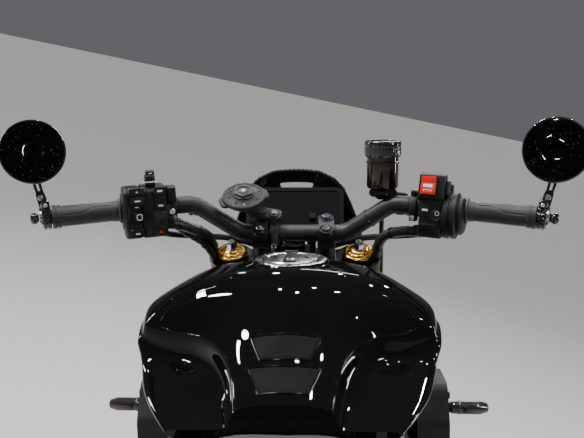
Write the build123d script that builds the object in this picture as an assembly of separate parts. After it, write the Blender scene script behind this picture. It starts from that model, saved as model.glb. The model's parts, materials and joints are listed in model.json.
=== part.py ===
from build123d import *
from math import acos, cos, radians, sin, sqrt, tan
import os

# A cafe racer motorcycle, drawn upright facing +Y with +X on the rider's right and z = 0 on the road.
# Every solid is then leant to the left on its side stand, which is how the machine parks.
os.makedirs("parts", exist_ok=True)

# Driving dimensions, in millimetres and degrees
LEAN = 12.0
RAKE = 25.0
FRONT_AXLE_Y = 730.0
REAR_AXLE_Y = -710.0
FRONT_RADIUS = 300.0
REAR_RADIUS = 320.0
FRONT_CROWN = 62.0  # radius of the front tyre's rounded tread
REAR_CROWN = 92.0
FORK_OFFSET = 34.0  # fork legs ahead of the steering axis
FORK_HALF = 108.0  # half the distance between the fork legs
FORK_LENGTH = 742.0  # axle to the top of the fork tubes
TOP_CLAMP_S = 706.0  # underside of the top clamp, measured up the fork from the axle
LOWER_CLAMP_S = 520.0
CLAMP_THICK = 28.0
FORK_TUBE_R = 27.0
FORK_INNER_R = 21.5
BAR_R = 14.0
GRIP_BAR_R = 11.0
FIT = 0.05  # clearance where one round piece sits in another
MIRROR_Z = 1155.0
MIRROR_X = 397.0
ENGINE_HALF = 135.0
CHAIN_X = -108.0
PIVOT_Y = -95.0
PIVOT_Z = 395.0

LEAN_SIN = sin(radians(LEAN))
LEAN_COS = cos(radians(LEAN))
RAKE_SIN = sin(radians(RAKE))
RAKE_COS = cos(radians(RAKE))

# The rear axle stands a little higher than its radius, so that both rounded treads touch the road when leant
REAR_AXLE_Z = REAR_RADIUS + (REAR_CROWN - FRONT_CROWN) * (1 - LEAN_COS) / LEAN_COS
PARK_X = MIRROR_Z * LEAN_SIN  # brings the parked machine's middle over the origin
PARK_Z = FRONT_CROWN * (1 - LEAN_COS)
PARKED = Pos(PARK_X, 0, PARK_Z) * Rot(0, -LEAN, 0)

FRONT_AXLE = Vector(0, FRONT_AXLE_Y, FRONT_RADIUS)
REAR_AXLE = Vector(0, REAR_AXLE_Y, REAR_AXLE_Z)
STEER_UP = Vector(0, -RAKE_SIN, RAKE_COS)
STEER_FORWARD = Vector(0, RAKE_COS, RAKE_SIN)
STEER_ORIGIN = FRONT_AXLE - STEER_FORWARD * FORK_OFFSET
# Steering frame: x across, y forward from the steering axis, z up along it from the axle's level
STEER = Plane(origin=STEER_ORIGIN, x_dir=(1, 0, 0), z_dir=STEER_UP)


# Shape helpers
def polygon(points, radius=0.0):
    """A flat face from corner points, its corners rounded where a radius is given."""
    if radius:
        return make_face(FilletPolyline(*points, radius=radius, close=True))
    return make_face(Polyline(*points, close=True))


def side_slab(points, x_low, x_high, radius=0.0):
    """A (y, z) outline extruded across the machine."""
    return extrude(Plane.YZ.offset(x_low) * polygon(points, radius), x_high - x_low)


def turned(points, plane):
    """A (radius, height) outline turned about the plane's normal."""
    return plane * revolve(Plane.XZ * polygon(points), Axis.Z, 360)


def rod(start, end, radius):
    """A plain round bar between two points."""
    start, end = Vector(*start), Vector(*end)
    return Plane(origin=start, z_dir=end - start) * Cylinder(
        radius, (end - start).length, align=(Align.CENTER, Align.CENTER, Align.MIN)
    )


def tube(points, bends, radius):
    """A round tube through points, with tangent arcs at its corners."""
    path = FilletPolyline(*points, radius=bends) if len(points) > 2 else Line(*points)
    start = Plane(origin=path @ 0, z_dir=path % 0)
    return sweep(start * Circle(radius), path=path)


def block(center, size, plane=Plane.XY):
    """A box about a centre, given in a plane's own axes."""
    return plane * (Pos(*center) * Box(*size))


def both(shape):
    """A piece and its mirror image on the other side, as two solids."""
    return [shape, mirror(shape, about=Plane.YZ)]


def joined(shapes):
    """Touching shapes fused into one."""
    whole = shapes[0]
    for shape in shapes[1:]:
        whole = whole + shape
    return whole


def save(node, *shapes):
    """Leans the node's solids on the stand and writes them as one file."""
    solids = [s for shape in shapes for s in shape.solids()]
    export_step(Compound([PARKED * s for s in solids]), "parts/" + node + ".step")


def across(y, z, x=0.0):
    """A plane whose normal runs across the machine, at a point of its side view."""
    return Plane(origin=(x, y, z), x_dir=(0, 1, 0), z_dir=(1, 0, 0))


# Wheels. Tyre sections are (half width, radius) from bead to crown, as shares of width and radius below.
TYRES = {
    # node: (axle, outer radius, half width, rim half width, crown radius)
    "front": (FRONT_AXLE, FRONT_RADIUS, 60.0, 45.0, FRONT_CROWN),
    "rear": (REAR_AXLE, REAR_RADIUS, 89.0, 72.0, REAR_CROWN),
}
BEAD_R = 219.0
FLANGE_R = 232.0
RIM_INNER_R = 196.0


def tyre(axle, radius, half_width, rim_half, crown):
    """A tyre as a turned section: bead between the rim flanges, bulged wall, rounded tread, hollow inside."""
    crown_angles = (52, 40, 26, 12, 0)
    wall = [(BEAD_R, rim_half - 1.5), (FLANGE_R + 4, rim_half - 1.5), (FLANGE_R + 15, half_width - 4)]
    tread = [
        (radius - crown + crown * cos(radians(a)), min(crown * sin(radians(a)), half_width))
        for a in crown_angles
    ]
    hollow = [(radius - 13, 0), (radius - 20, half_width * 0.55), (FLANGE_R + 10, half_width - 16), (BEAD_R, rim_half - 14)]
    right = wall + tread[:-1]
    left = [(r, -h) for r, h in reversed(right)]
    inside = [(r, -h) for r, h in reversed(hollow)] + hollow[1:]
    return turned(right + [tread[-1]] + left + inside, across(axle.Y, axle.Z))


def rim(axle, rim_half, hub_half, spoke_pairs, bore):
    """A cast wheel: dropped rim, forked spokes and a bored hub."""
    outer = rim_half + 7
    half = [
        (RIM_INNER_R, 0),
        (RIM_INNER_R, rim_half - 12),
        (FLANGE_R - 22, outer),
        (FLANGE_R, outer),
        (FLANGE_R, rim_half),
        (BEAD_R - 1, rim_half - 1),
        (BEAD_R - 1, rim_half - 22),
        (RIM_INNER_R + 8, rim_half - 32),
        (RIM_INNER_R + 8, 0),
    ]
    section = half[1:-1] + [(r, -h) for r, h in reversed(half[1:-1])]
    wheel = turned(section, Plane.XY)
    hub = Cylinder(36, 2 * hub_half) + Cylinder(50, 34)
    stem, fork, spread = 17.0, 118.0, radians(13)
    tip_x, tip_y = (RIM_INNER_R + 3) * cos(spread), (RIM_INNER_R + 3) * sin(spread)
    outline = [
        (30, -stem),
        (fork - 14, -13),
        (tip_x + 2, -tip_y - 9),
        (tip_x - 2, -tip_y + 9),
        (fork + 8, 0),
        (tip_x - 2, tip_y - 9),
        (tip_x + 2, tip_y + 9),
        (fork - 14, 13),
        (30, stem),
    ]
    spoke = extrude(polygon(outline), 13, both=True)
    spokes = [Rot(0, 0, i * 360 / spoke_pairs) * spoke for i in range(spoke_pairs)]
    whole = joined([hub] + spokes) + wheel - Cylinder(bore, 300)
    return across(axle.Y, axle.Z) * whole


def disc(outer, inner, x, y, z, carrier, thick=5.0, arms=8):
    """A brake disc: drilled-look ring, carrier arms and a hub ring, turned about the axle."""
    ring = Cylinder(outer, thick) - Cylinder(inner, thick)
    arm = Pos((inner + carrier) / 2, 0, 0) * Box(inner - carrier + 10, 14, thick)
    spider = Cylinder(carrier + 8, thick + 2) - Cylinder(carrier - 16, thick + 2)
    whole = joined([ring, spider] + [Rot(0, 0, i * 360 / arms) * arm for i in range(arms)])
    return across(y, z, x) * whole


for name, (axle, radius, half_width, rim_half, crown) in TYRES.items():
    save(name + "_tyre", tyre(axle, radius, half_width, rim_half, crown))
AXLE_R = 12.0
HUB_BORE_R = 13.0
save("front_wheel", rim(FRONT_AXLE, TYRES["front"][3], 62, 5, HUB_BORE_R))
save("rear_wheel", rim(REAR_AXLE, TYRES["rear"][3], 92, 5, HUB_BORE_R))

FRONT_DISC_R = 155.0
FRONT_DISC_X = 74.0
front_disc = disc(FRONT_DISC_R, 122, FRONT_DISC_X, FRONT_AXLE.Y, FRONT_AXLE.Z, 60)
disc_boss = across(FRONT_AXLE.Y, FRONT_AXLE.Z, 66.2) * (Cylinder(58, 8.2) - Cylinder(37, 8.2))
save("front_discs", *both(front_disc + disc_boss))
REAR_DISC_X = 108.0
rear_disc = disc(120, 92, REAR_DISC_X, REAR_AXLE.Y, REAR_AXLE.Z, 48)
rear_boss = across(REAR_AXLE.Y, REAR_AXLE.Z, 98.5) * (Cylinder(46, 13) - Cylinder(31, 13))
save("rear_disc", rear_disc + rear_boss)

# Chain drive: roller chain of 15.875 mm pitch round a 45 tooth sprocket and a 16 tooth one
PITCH = 15.875
REAR_TEETH = 45
FRONT_TEETH = 16
SPROCKET_Y, SPROCKET_Z = -30.0, 402.0


def pitch_radius(teeth):
    return PITCH / (2 * sin(radians(180 / teeth)))


sprocket_r = pitch_radius(REAR_TEETH)
tooth = extrude(polygon([(sprocket_r - 9, -5), (sprocket_r + 4, -1.6), (sprocket_r + 4, 1.6), (sprocket_r - 9, 5)]), 3, both=True)
sprocket = Cylinder(sprocket_r - 7, 6) - Cylinder(38, 6)
sprocket = joined([sprocket] + [Rot(0, 0, (i + 0.5) * 360 / REAR_TEETH) * tooth for i in range(REAR_TEETH)])
for i in range(5):
    sprocket = sprocket - Rot(0, 0, i * 72) * Pos(78, 0, 0) * Cylinder(19, 8)
carrier = across(REAR_AXLE.Y, REAR_AXLE.Z, CHAIN_X + 9.2) * (Cylinder(52, 12.4) - Cylinder(37, 12.4))
save("rear_sprocket", across(REAR_AXLE.Y, REAR_AXLE.Z, CHAIN_X) * sprocket + carrier)


def chain_outline(grow):
    """The chain's closed run round both sprockets: two arcs and two tangents, grown outwards."""
    big, small = pitch_radius(REAR_TEETH) + grow, pitch_radius(FRONT_TEETH) + grow
    dy, dz = SPROCKET_Y - REAR_AXLE.Y, SPROCKET_Z - REAR_AXLE.Z
    reach = sqrt(dy * dy + dz * dz)
    along = Vector(dy / reach, dz / reach)
    normal = Vector(-along.Y, along.X)
    tilt = acos((big - small) / reach)
    up = along * cos(tilt) + normal * sin(tilt)
    down = along * cos(tilt) - normal * sin(tilt)
    rear, front = Vector(REAR_AXLE.Y, REAR_AXLE.Z), Vector(SPROCKET_Y, SPROCKET_Z)
    top = Line(rear + up * big, front + up * small)
    nose = ThreePointArc(front + up * small, front + along * small, front + down * small)
    bottom = Line(front + down * small, rear + down * big)
    tail = ThreePointArc(rear + down * big, rear - along * big, rear + up * big)
    return make_face(Wire([top, nose, bottom, tail]))


plates = chain_outline(7) - chain_outline(-6)
plate_pair = [extrude(Plane.YZ.offset(CHAIN_X + x) * plates, 4.5) for x in (-9, 4.5)]
rollers = extrude(Plane.YZ.offset(CHAIN_X - 4.5) * (chain_outline(7) - chain_outline(5.2)), 9)
save("chain", joined(plate_pair + [rollers]))

# Steering: two clamps, fork legs, axle
FORK_TOP = FORK_LENGTH


def clamp_plate(s, thick, stem_r):
    """A triple clamp in the steering frame: rounded lugs round both legs, joined by a waisted plate."""
    lug_r = FORK_TUBE_R + 10
    outline = [
        (-FORK_HALF, FORK_OFFSET + lug_r - 4),
        (-46, 46),
        (46, 46),
        (FORK_HALF, FORK_OFFSET + lug_r - 4),
        (FORK_HALF, FORK_OFFSET - lug_r + 4),
        (34, -30),
        (-34, -30),
        (-FORK_HALF, FORK_OFFSET - lug_r + 4),
    ]
    plate = extrude(polygon(outline, 9), thick)
    for side in (-1, 1):
        leg = Pos(side * FORK_HALF, FORK_OFFSET, thick / 2)
        plate = plate + leg * Cylinder(lug_r, thick)
    for side in (-1, 1):
        leg = Pos(side * FORK_HALF, FORK_OFFSET, thick / 2)
        plate = plate - leg * Cylinder(FORK_TUBE_R + FIT, thick)
    if stem_r:
        plate = plate - Cylinder(stem_r, 3 * thick)
    return STEER * (Pos(0, 0, s) * plate)


STEM_R = 14.0
stem_length = TOP_CLAMP_S + CLAMP_THICK + 6 - LOWER_CLAMP_S
stem = STEER * (Pos(0, 0, LOWER_CLAMP_S + stem_length / 2) * Cylinder(STEM_R, stem_length))
save("lower_clamp", clamp_plate(LOWER_CLAMP_S, 34, 0) + stem)
stem_nut = STEER * (Pos(0, 0, TOP_CLAMP_S + CLAMP_THICK + 4) * (Cylinder(19, 8) - Cylinder(STEM_R + FIT, 8)))
key_switch = STEER * (Pos(0, 36, TOP_CLAMP_S + CLAMP_THICK) * Cylinder(17, 30, align=(Align.CENTER, Align.CENTER, Align.MIN)))
save("top_clamp", clamp_plate(TOP_CLAMP_S, CLAMP_THICK, STEM_R + FIT) + stem_nut + key_switch)


def leg(x, outline):
    """A fork leg piece turned about the leg's own axis, from (radius, height above the axle) points."""
    return STEER * (Pos(x, FORK_OFFSET, 0) * turned(outline, Plane.XY))


OUTER_LEG = [
    (0, 425),
    (FORK_TUBE_R + 2, 425),
    (FORK_TUBE_R + 2, 455),
    (FORK_TUBE_R, 458),
    (FORK_TUBE_R, FORK_TOP),
    (0, FORK_TOP),
]
INNER_LEG = [(0, 40), (25, 40), (25, 180), (FORK_INNER_R, 188), (FORK_INNER_R, 425), (0, 425)]
CAP = [(0, FORK_TOP), (24, FORK_TOP), (24, FORK_TOP + 4), (17, FORK_TOP + 5), (15, FORK_TOP + 9), (0, FORK_TOP + 9)]
save("fork_tubes", *both(leg(FORK_HALF, OUTER_LEG)))
adjuster = Pos(FORK_HALF, FORK_OFFSET, FORK_TOP + 9) * extrude(RegularPolygon(9.5, 6), 15)
save("fork_caps", *both(leg(FORK_HALF, CAP) + STEER * adjuster))

lug = across(FRONT_AXLE.Y, FRONT_AXLE.Z, FORK_HALF) * Cylinder(29, 49)
lug = lug + STEER * (Pos(FORK_HALF, FORK_OFFSET, 22) * Cylinder(24, 40))
lug = lug - across(FRONT_AXLE.Y, FRONT_AXLE.Z, FORK_HALF) * Cylinder(AXLE_R + FIT, 60)
save("fork_sliders", *both(leg(FORK_HALF, INNER_LEG) + lug))
front_axle = across(FRONT_AXLE.Y, FRONT_AXLE.Z) * Cylinder(AXLE_R, 2 * (FORK_HALF + 31))
axle_heads = both(across(FRONT_AXLE.Y, FRONT_AXLE.Z, FORK_HALF + 28.2) * Cylinder(17, 7))
collars = both(across(FRONT_AXLE.Y, FRONT_AXLE.Z, 73) * Cylinder(17, 20.8))
save("front_axle", joined([front_axle] + axle_heads + collars))

# Brake calipers: a block that straddles the disc's edge, set at an angle round the axle
def caliper(axle, x, angle, disc_r, length, width, depth, gap):
    """One caliper in place: its bridge lies just outside the disc, its slot over the disc's faces."""
    bridge = disc_r + 3.5
    inner = disc_r - depth
    outer = bridge + 19
    body = Pos(0, (inner + outer) / 2, 0) * Box(length, outer - inner, width)
    body = chamfer(body.edges().filter_by(Axis.Z), 9)
    body = body - Pos(0, (inner + bridge) / 2 - 10, 0) * Box(length + 10, bridge - inner + 20, gap)
    return across(axle.Y, axle.Z, x) * (Rot(0, 0, angle - 90) * body)


CALIPER_ANGLE = 148.0
BANJO = (FORK_HALF + 2, -52, 114)  # hose union on the caliper, in the steering frame
front_caliper = caliper(FRONT_AXLE, FRONT_DISC_X, CALIPER_ANGLE, FRONT_DISC_R, 112, 58, 58, 12)
banjo = STEER * (Pos(*BANJO) * Rot(0, 90, 0) * Cylinder(7, 18))
leg_space = STEER * (Pos(FORK_HALF, FORK_OFFSET, 150) * Cylinder(25 + FIT, 400))
save("front_calipers", *both(front_caliper + banjo - leg_space))

# Front mudguard: an arched strip over the tyre with stays to the fork legs
GUARD_R = FRONT_RADIUS + 13
guard_ring = turned(
    [
        (GUARD_R - 24, 66),
        (GUARD_R - 4, 62),
        (GUARD_R, 34),
        (GUARD_R, -34),
        (GUARD_R - 4, -62),
        (GUARD_R - 24, -66),
        (GUARD_R - 21, -69),
        (GUARD_R - 1, -65),
        (GUARD_R + 3.5, -36),
        (GUARD_R + 3.5, 36),
        (GUARD_R - 1, 65),
        (GUARD_R - 21, 69),
    ],
    across(FRONT_AXLE.Y, FRONT_AXLE.Z),
)
GUARD_FRONT, GUARD_REAR = 62.0, 142.0
guard_reach = [(0, 0)] + [
    (420 * cos(radians(a)), 420 * sin(radians(a))) for a in (GUARD_FRONT, 90, 125, GUARD_REAR)
]
guard_sector = extrude(Plane.YZ.offset(-80) * (Pos(FRONT_AXLE.Y, FRONT_AXLE.Z) * polygon(guard_reach)), 160)
stays = both(block((76, FORK_OFFSET - 6, 300), (11, 34, 46), STEER))
save("front_fender", joined([guard_ring & guard_sector] + stays))

# Handlebar: clamped middle, rising bends, swept and tapered ends
BAR_MIDDLE = Vector(0, 368, 1015)
BAR_BEND_LOW = Vector(84, 368, 1015)
BAR_BEND_HIGH = Vector(160, 352, 1066)
BAR_TIP = Vector(388, 276, 1054)
BAR_OUT = (BAR_TIP - BAR_BEND_HIGH).normalized()


def bar_plane(reach, side=1):
    """Frame on the outer bar at a distance from its upper bend: z outwards along it, x up, y to the rear."""
    origin = BAR_BEND_HIGH + BAR_OUT * reach
    out = Vector(BAR_OUT.X * side, BAR_OUT.Y, BAR_OUT.Z)
    return Plane(origin=(origin.X * side, origin.Y, origin.Z), x_dir=(0, 0, 1), z_dir=out)


def flip(point):
    return Vector(-point.X, point.Y, point.Z)


TAPER_START, TAPER_END, BAR_END = 26.0, 44.0, 236.0
taper_point = BAR_BEND_HIGH + BAR_OUT * TAPER_START
bar_points = [flip(taper_point), flip(BAR_BEND_HIGH), flip(BAR_BEND_LOW), BAR_BEND_LOW, BAR_BEND_HIGH, taper_point]
handlebar = tube(bar_points, [42, 42, 42, 42], BAR_R)
END_PROFILE = [(0, TAPER_START), (BAR_R, TAPER_START), (GRIP_BAR_R, TAPER_END), (GRIP_BAR_R, BAR_END), (0, BAR_END)]
for side in (-1, 1):
    handlebar = handlebar + turned(END_PROFILE, bar_plane(0, side))
save("handlebar", handlebar)

RISER_X = 53.5
risers = []
for side in (-1, 1):
    bar_local = STEER.to_local_coords(BAR_MIDDLE)
    foot_s = TOP_CLAMP_S + CLAMP_THICK
    column = Pos(side * RISER_X, bar_local.Y, foot_s) * Cylinder(
        15, bar_local.Z - foot_s, align=(Align.CENTER, Align.CENTER, Align.MIN)
    )
    saddle = Pos(side * RISER_X, bar_local.Y, bar_local.Z) * Box(25, 52, 38)
    saddle = fillet(saddle.edges().filter_by(Axis.X), 12)
    pad = Pos(side * RISER_X, bar_local.Y, foot_s + 4) * Cylinder(20, 8)
    seat_hole = Pos(side * RISER_X, bar_local.Y, bar_local.Z) * Rot(0, 90, 0) * Cylinder(BAR_R + FIT, 40)
    risers.append(STEER * (joined([saddle, column, pad]) - seat_hole))
save("bar_risers", *risers)

INNER = GRIP_BAR_R + FIT
GRIP = [
    (INNER, 107),
    (21, 107),
    (21, 111),
    (16.6, 113),
    (15.4, 122),
    (15.8, 160),
    (16.4, 200),
    (18.4, 208),
    (18.4, 212),
    (INNER, 212),
]
save("grips", *[turned(GRIP, bar_plane(0, side)) for side in (-1, 1)])

# Bar end mirrors: clamp collar, two-bolt arm, round shell with a recessed glass, domed end cap
MIRROR_Y = 285.0
MIRROR_R = 50.0
MIRROR_NORMAL = Vector(-0.30, -0.92, 0.24).normalized()
COLLAR = [(INNER, 214), (16.5, 214), (17.5, 217), (17.5, 232), (16, 235), (INNER, 235)]
END_CAP = [(0, BAR_END), (16, BAR_END), (15, 240), (9, 243), (8, 249), (6, 253), (0, 255)]


def mirror_piece(side):
    """One mirror's shell and arm, with its clamp on the bar end."""
    center = Vector(MIRROR_X * side, MIRROR_Y, MIRROR_Z)
    normal = Vector(MIRROR_NORMAL.X * side, MIRROR_NORMAL.Y, MIRROR_NORMAL.Z)
    face = Plane(origin=center, x_dir=(1, 0, 0), z_dir=normal)
    bowl = [(0, -12), (20, -12), (42, -7), (MIRROR_R, 1), (MIRROR_R, 6), (47.5, 7), (47, 4), (0, 4)]
    shell = turned(bowl, face)
    collar = turned(COLLAR, bar_plane(0, side))
    root = BAR_BEND_HIGH + BAR_OUT * 224
    root = Vector(root.X * side, root.Y, root.Z + 12)
    knee = Vector((MIRROR_X - 8) * side, MIRROR_Y + 8, MIRROR_Z - MIRROR_R - 16)
    hold = Vector(MIRROR_X * side, MIRROR_Y + 3, MIRROR_Z - MIRROR_R + 14)
    arm = rod(root, knee, 6.5) + Pos(*knee) * Sphere(6.5) + rod(knee, hold, 5)
    bore = bar_plane(222, side) * Cylinder(INNER, 30)
    return (collar + arm + shell) - bore


save("mirrors", *[mirror_piece(side) for side in (-1, 1)])
save("bar_end_caps", *[turned(END_CAP, bar_plane(0, side)) for side in (-1, 1)])

# Switch housings sit inboard of each grip. Their frame has x up, y to the rear and z outwards.
HOUSING = [(-40, -22), (-30, -33), (20, -33), (38, -20), (38, 18), (26, 30), (-28, 32), (-40, 20)]


def bored(shape, plane, radius=GRIP_BAR_R + FIT, length=200):
    return shape - plane * Cylinder(radius, length)


def housing(side, start, end, outline, extras):
    plane = bar_plane(start, side)
    turn = 1 if plane.y_dir.Y < 0 else -1
    body = extrude(polygon([(a, turn * b) for a, b in outline], 6), end - start)
    for a, b, c, size in extras:
        body = body + Pos(a, turn * b, c) * Box(*size)
    return bored(plane * body, plane)


LEFT_EXTRAS = [
    # up, rear, along, size
    (2, 30, 20, (58, 12, 34)),
    (44, 6, 14, (16, 30, 14)),
    (-6, -32, 26, (26, 16, 30)),
]
RIGHT_EXTRAS = [
    (44, 6, 24, (26, 34, 32)),
    (-4, 32, 30, (50, 8, 22)),
]
switches = [housing(-1, 52, 106, HOUSING, LEFT_EXTRAS), housing(1, 52, 106, HOUSING, RIGHT_EXTRAS)]
save("switch_left", switches[0])
save("switch_right", switches[1])

# Hand levers: perch clamped to the bar, brake master cylinder on the right, bent blades ahead of the grips
LEVER_DROP = 12.0


def hand_lever(side):
    """One perch and its lever, fused at the pivot."""
    plane = bar_plane(36, side)
    perch = plane * (Cylinder(20, 13) - Cylinder(GRIP_BAR_R + 3.2, 13))
    pivot = BAR_BEND_HIGH + BAR_OUT * 52
    pivot = Vector(pivot.X * side, pivot.Y + 41, pivot.Z - 8)
    neck_start = BAR_BEND_HIGH + BAR_OUT * 36
    neck_start = Vector(neck_start.X * side, neck_start.Y + 19, neck_start.Z - 3)
    neck = rod(neck_start, pivot, 9)
    knuckle = Plane(origin=pivot - Vector(0, 0, 9), z_dir=(0, 0, 1)) * Cylinder(11, 18, align=(Align.CENTER, Align.CENTER, Align.MIN))
    middle = BAR_BEND_HIGH + BAR_OUT * 110
    middle = Vector(middle.X * side, middle.Y + 76, middle.Z - LEVER_DROP)
    tip = BAR_BEND_HIGH + BAR_OUT * 214
    tip = Vector(tip.X * side, tip.Y + 74, tip.Z - LEVER_DROP)
    blade = tube([pivot, middle, tip], [60], 6)
    ball = Pos(*tip) * Sphere(8.5)
    return joined([perch, neck, knuckle, blade, ball])


MASTER_INNER, MASTER_OUTER = (168, 399, 1052), (226, 392, 1048)
master = rod(MASTER_INNER, MASTER_OUTER, 11)
save("hand_levers", hand_lever(-1), hand_lever(1) + master)

# Brake fluid reservoir: smoked cup with a screwed cap, on a bracket arm from the master cylinder
RESERVOIR = Vector(144, 365, 1089)
cup = Plane(origin=RESERVOIR) * revolve(
    Plane.XZ * polygon([(0, 0), (23, 0), (25.5, 4), (25.5, 52), (29, 53), (29.5, 74), (27, 77), (0, 77)]), Axis.Z, 360
)
bracket = rod((144, 365, 1078), (144, 365, 1090), 9) + rod((144, 366, 1081), (182, 377, 1076), 5)
bracket = bracket + rod((182, 377, 1078), (190, 394, 1054), 5)
save("brake_reservoir", (cup + bracket) - master - hand_lever(1))

# Phone mount: round head on a two-joint arm clamped beside the left riser
PHONE = Vector(-80, 355, 1078)
phone_plane = Plane(origin=PHONE, x_dir=(1, 0, 0), z_dir=(0, -0.485, 0.875))
head = turned([(0, -14), (22, -14), (30, -9), (36, -3), (36, 3), (30, 6), (16, 7), (14, 12), (0, 12)], phone_plane)
ears = phone_plane * (Pos(0, 0, -6) * (Rot(0, 0, 20) * Box(80, 26, 6)))
swivel = Vector(-31, 363, 1045)
link = rod(PHONE + Vector(4, 8, -13), swivel + Vector(-3, 2, 2), 9) + Pos(*swivel) * Sphere(12)
grip_ring = across(BAR_MIDDLE.Y, BAR_MIDDLE.Z, -31) * (Cylinder(19.5, 14) - Cylinder(BAR_R + FIT, 14))
stalk = rod(swivel, (-31, 367, 1030), 8)
bar_space = across(BAR_MIDDLE.Y, BAR_MIDDLE.Z, -31) * Cylinder(BAR_R + FIT, 60)
save("phone_mount", joined([head, ears, link, stalk, grip_ring]) - bar_space)

# Dash: a thin screen housing leaning back to the rider, on a bracket from the top clamp
DASH_CENTER = Vector(0, 434, 1041)
dash_plane = Plane(origin=DASH_CENTER, x_dir=(1, 0, 0), z_dir=(0, -0.80, 0.60))
dash = fillet(Box(166, 84, 20).edges().filter_by(Axis.Z), 13)
bezel = Pos(0, 0, 10) * fillet(Box(152, 70, 4).edges().filter_by(Axis.Z), 8)
dash = dash_plane * (dash - bezel)
dash_feet = both(block((30, 53, 740), (10, 32, 12), STEER) + block((30, 61, 768), (10, 16, 66), STEER))
dash = joined([dash] + dash_feet)
save("dash", dash)

# Headlight: round bucket with a rim and a bulged lens, held by two ears from the fork tubes
LAMP = Vector(0, 590, 884)
lamp_plane = Plane(origin=LAMP, x_dir=(1, 0, 0), z_dir=(0, 1, 0))
bucket = turned([(0, -88), (34, -84), (62, -66), (78, -36), (84, 0), (88, 4), (88, 18), (80, 20), (0, 20)], lamp_plane)
ear_out = FORK_HALF + 4
ears = []
for side in (-1, 1):
    ear = rod((side * 80, LAMP.Y - 4, LAMP.Z), (side * 112, LAMP.Y - 12, LAMP.Z), 9)
    strap = side_slab([(LAMP.Y - 2, LAMP.Z - 22), (LAMP.Y - 2, LAMP.Z + 22), (LAMP.Y - 92, LAMP.Z + 40), (LAMP.Y - 92, LAMP.Z - 8)], 104 * side - 4, 104 * side + 4)
    band = Pos(side * FORK_HALF, FORK_OFFSET, 634) * Cylinder(FORK_TUBE_R + 6, 40)
    band = STEER * (band - Pos(side * FORK_HALF, FORK_OFFSET, 634) * Cylinder(FORK_TUBE_R + FIT, 40))
    space = STEER * (Pos(side * FORK_HALF, FORK_OFFSET, 634) * Cylinder(FORK_TUBE_R + FIT, 200))
    ears.append(joined([ear, strap - space, band]))
save("headlight", joined([bucket] + ears))
lens = turned([(0, 20.1), (78, 20.1), (74, 26), (52, 33), (28, 37), (0, 38)], lamp_plane)
save("headlight_lens", lens)

# Flyscreen: a curved shield above the lamp with a hand slot, its outline as (half width, height) pairs
SCREEN_TOP = Vector(0, 492, 1107)
SCREEN_LEAN = 33.0
SCREEN_BEND_R = 175.0
SCREEN_THICK = 3.5
SCREEN_OUTLINE = [(40, 0), (66, -9), (82, -24), (95, -52), (114, -104), (117, -132), (96, -152)]
lean_sin, lean_cos = sin(radians(SCREEN_LEAN)), cos(radians(SCREEN_LEAN))
screen_plane = Plane(origin=SCREEN_TOP, x_dir=(1, 0, 0), z_dir=(0, -lean_cos, -lean_sin))
outline = [(w, h) for w, h in SCREEN_OUTLINE] + [(-w, h) for w, h in reversed(SCREEN_OUTLINE)]
shield = extrude(polygon(outline, 7), 120, both=True)
slot = extrude(polygon([(-33, -24), (33, -24), (29, -43), (-29, -43)], 5), 120, both=True)
skin = Pos(0, -80, SCREEN_BEND_R) * Rot(90, 0, 0) * (
    Cylinder(SCREEN_BEND_R, 300) - Cylinder(SCREEN_BEND_R - SCREEN_THICK, 300)
)
front_half = Pos(0, -80, SCREEN_BEND_R / 2 - 60) * Box(400, 300, SCREEN_BEND_R)
screen = screen_plane * ((shield - slot) & skin & front_half)
screen_stays = both(rod((50, 440, 1036), (50, 536.4, 1016.6), 5))
save("flyscreen", joined([screen] + screen_stays) - dash)

# Brake hoses and the switch looms, all routed to turn with the bars
def from_steer(*points):
    return [STEER.from_local_coords(Vector(*p)) for p in points]


HOSE_R = 4.0
HOSE_END = (BANJO[0] + 4, BANJO[1], BANJO[2] + 8)
HOSE_DROP = [(150, 44, 600), (150, 30, 420), (150, -8, 250), (124, -46, 172), HOSE_END]
hose_right = [Vector(174, 398.4, 1052), Vector(146, 402, 1050), Vector(148, 446, 980)] + from_steer(*HOSE_DROP)
left_drop = [(-x, n, s) for x, n, s in HOSE_DROP[1:]]
hose_left = from_steer((-24, 46.2, 537), (-24, 68, 537), (-92, 86, 520), (-150, 46, 466), *left_drop)
save(
    "brake_hoses",
    tube(hose_right, [14, 50, 120, 160, 70, 40], HOSE_R) - master,
    tube(hose_left, [14, 36, 40, 120, 70, 40], HOSE_R),
)
LOOM_R = 5.5
LOOM_BENDS = [24, 60, 40, 30, 10]
LOOM = [(236, 330, 1026), (200, 372, 1012), (112, 452, 992), (44, 450, 972), (30, 466, 915), (16, 478, 892), (16, 501.5, 892)]
looms = []
for side, switch in zip((-1, 1), switches):
    looms.append(tube([(side * x, y, z) for x, y, z in LOOM], LOOM_BENDS, LOOM_R) - switch)
save("control_cables", *looms)

# Tank: sections from nose to seat, each (y, bottom z, bottom half, widest half, widest z, shoulder half, shoulder z, top z)
TANK = [
    (372, 858, 44, 98, 905, 62, 958, 972),
    (318, 828, 88, 150, 898, 92, 972, 986),
    (255, 806, 128, 196, 892, 112, 982, 993),
    (190, 794, 146, 212, 888, 112, 978, 990),
    (120, 790, 140, 198, 872, 92, 938, 957),
    (60, 792, 118, 166, 848, 70, 884, 900),
    (22, 796, 100, 142, 832, 58, 852, 864),
]


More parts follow.
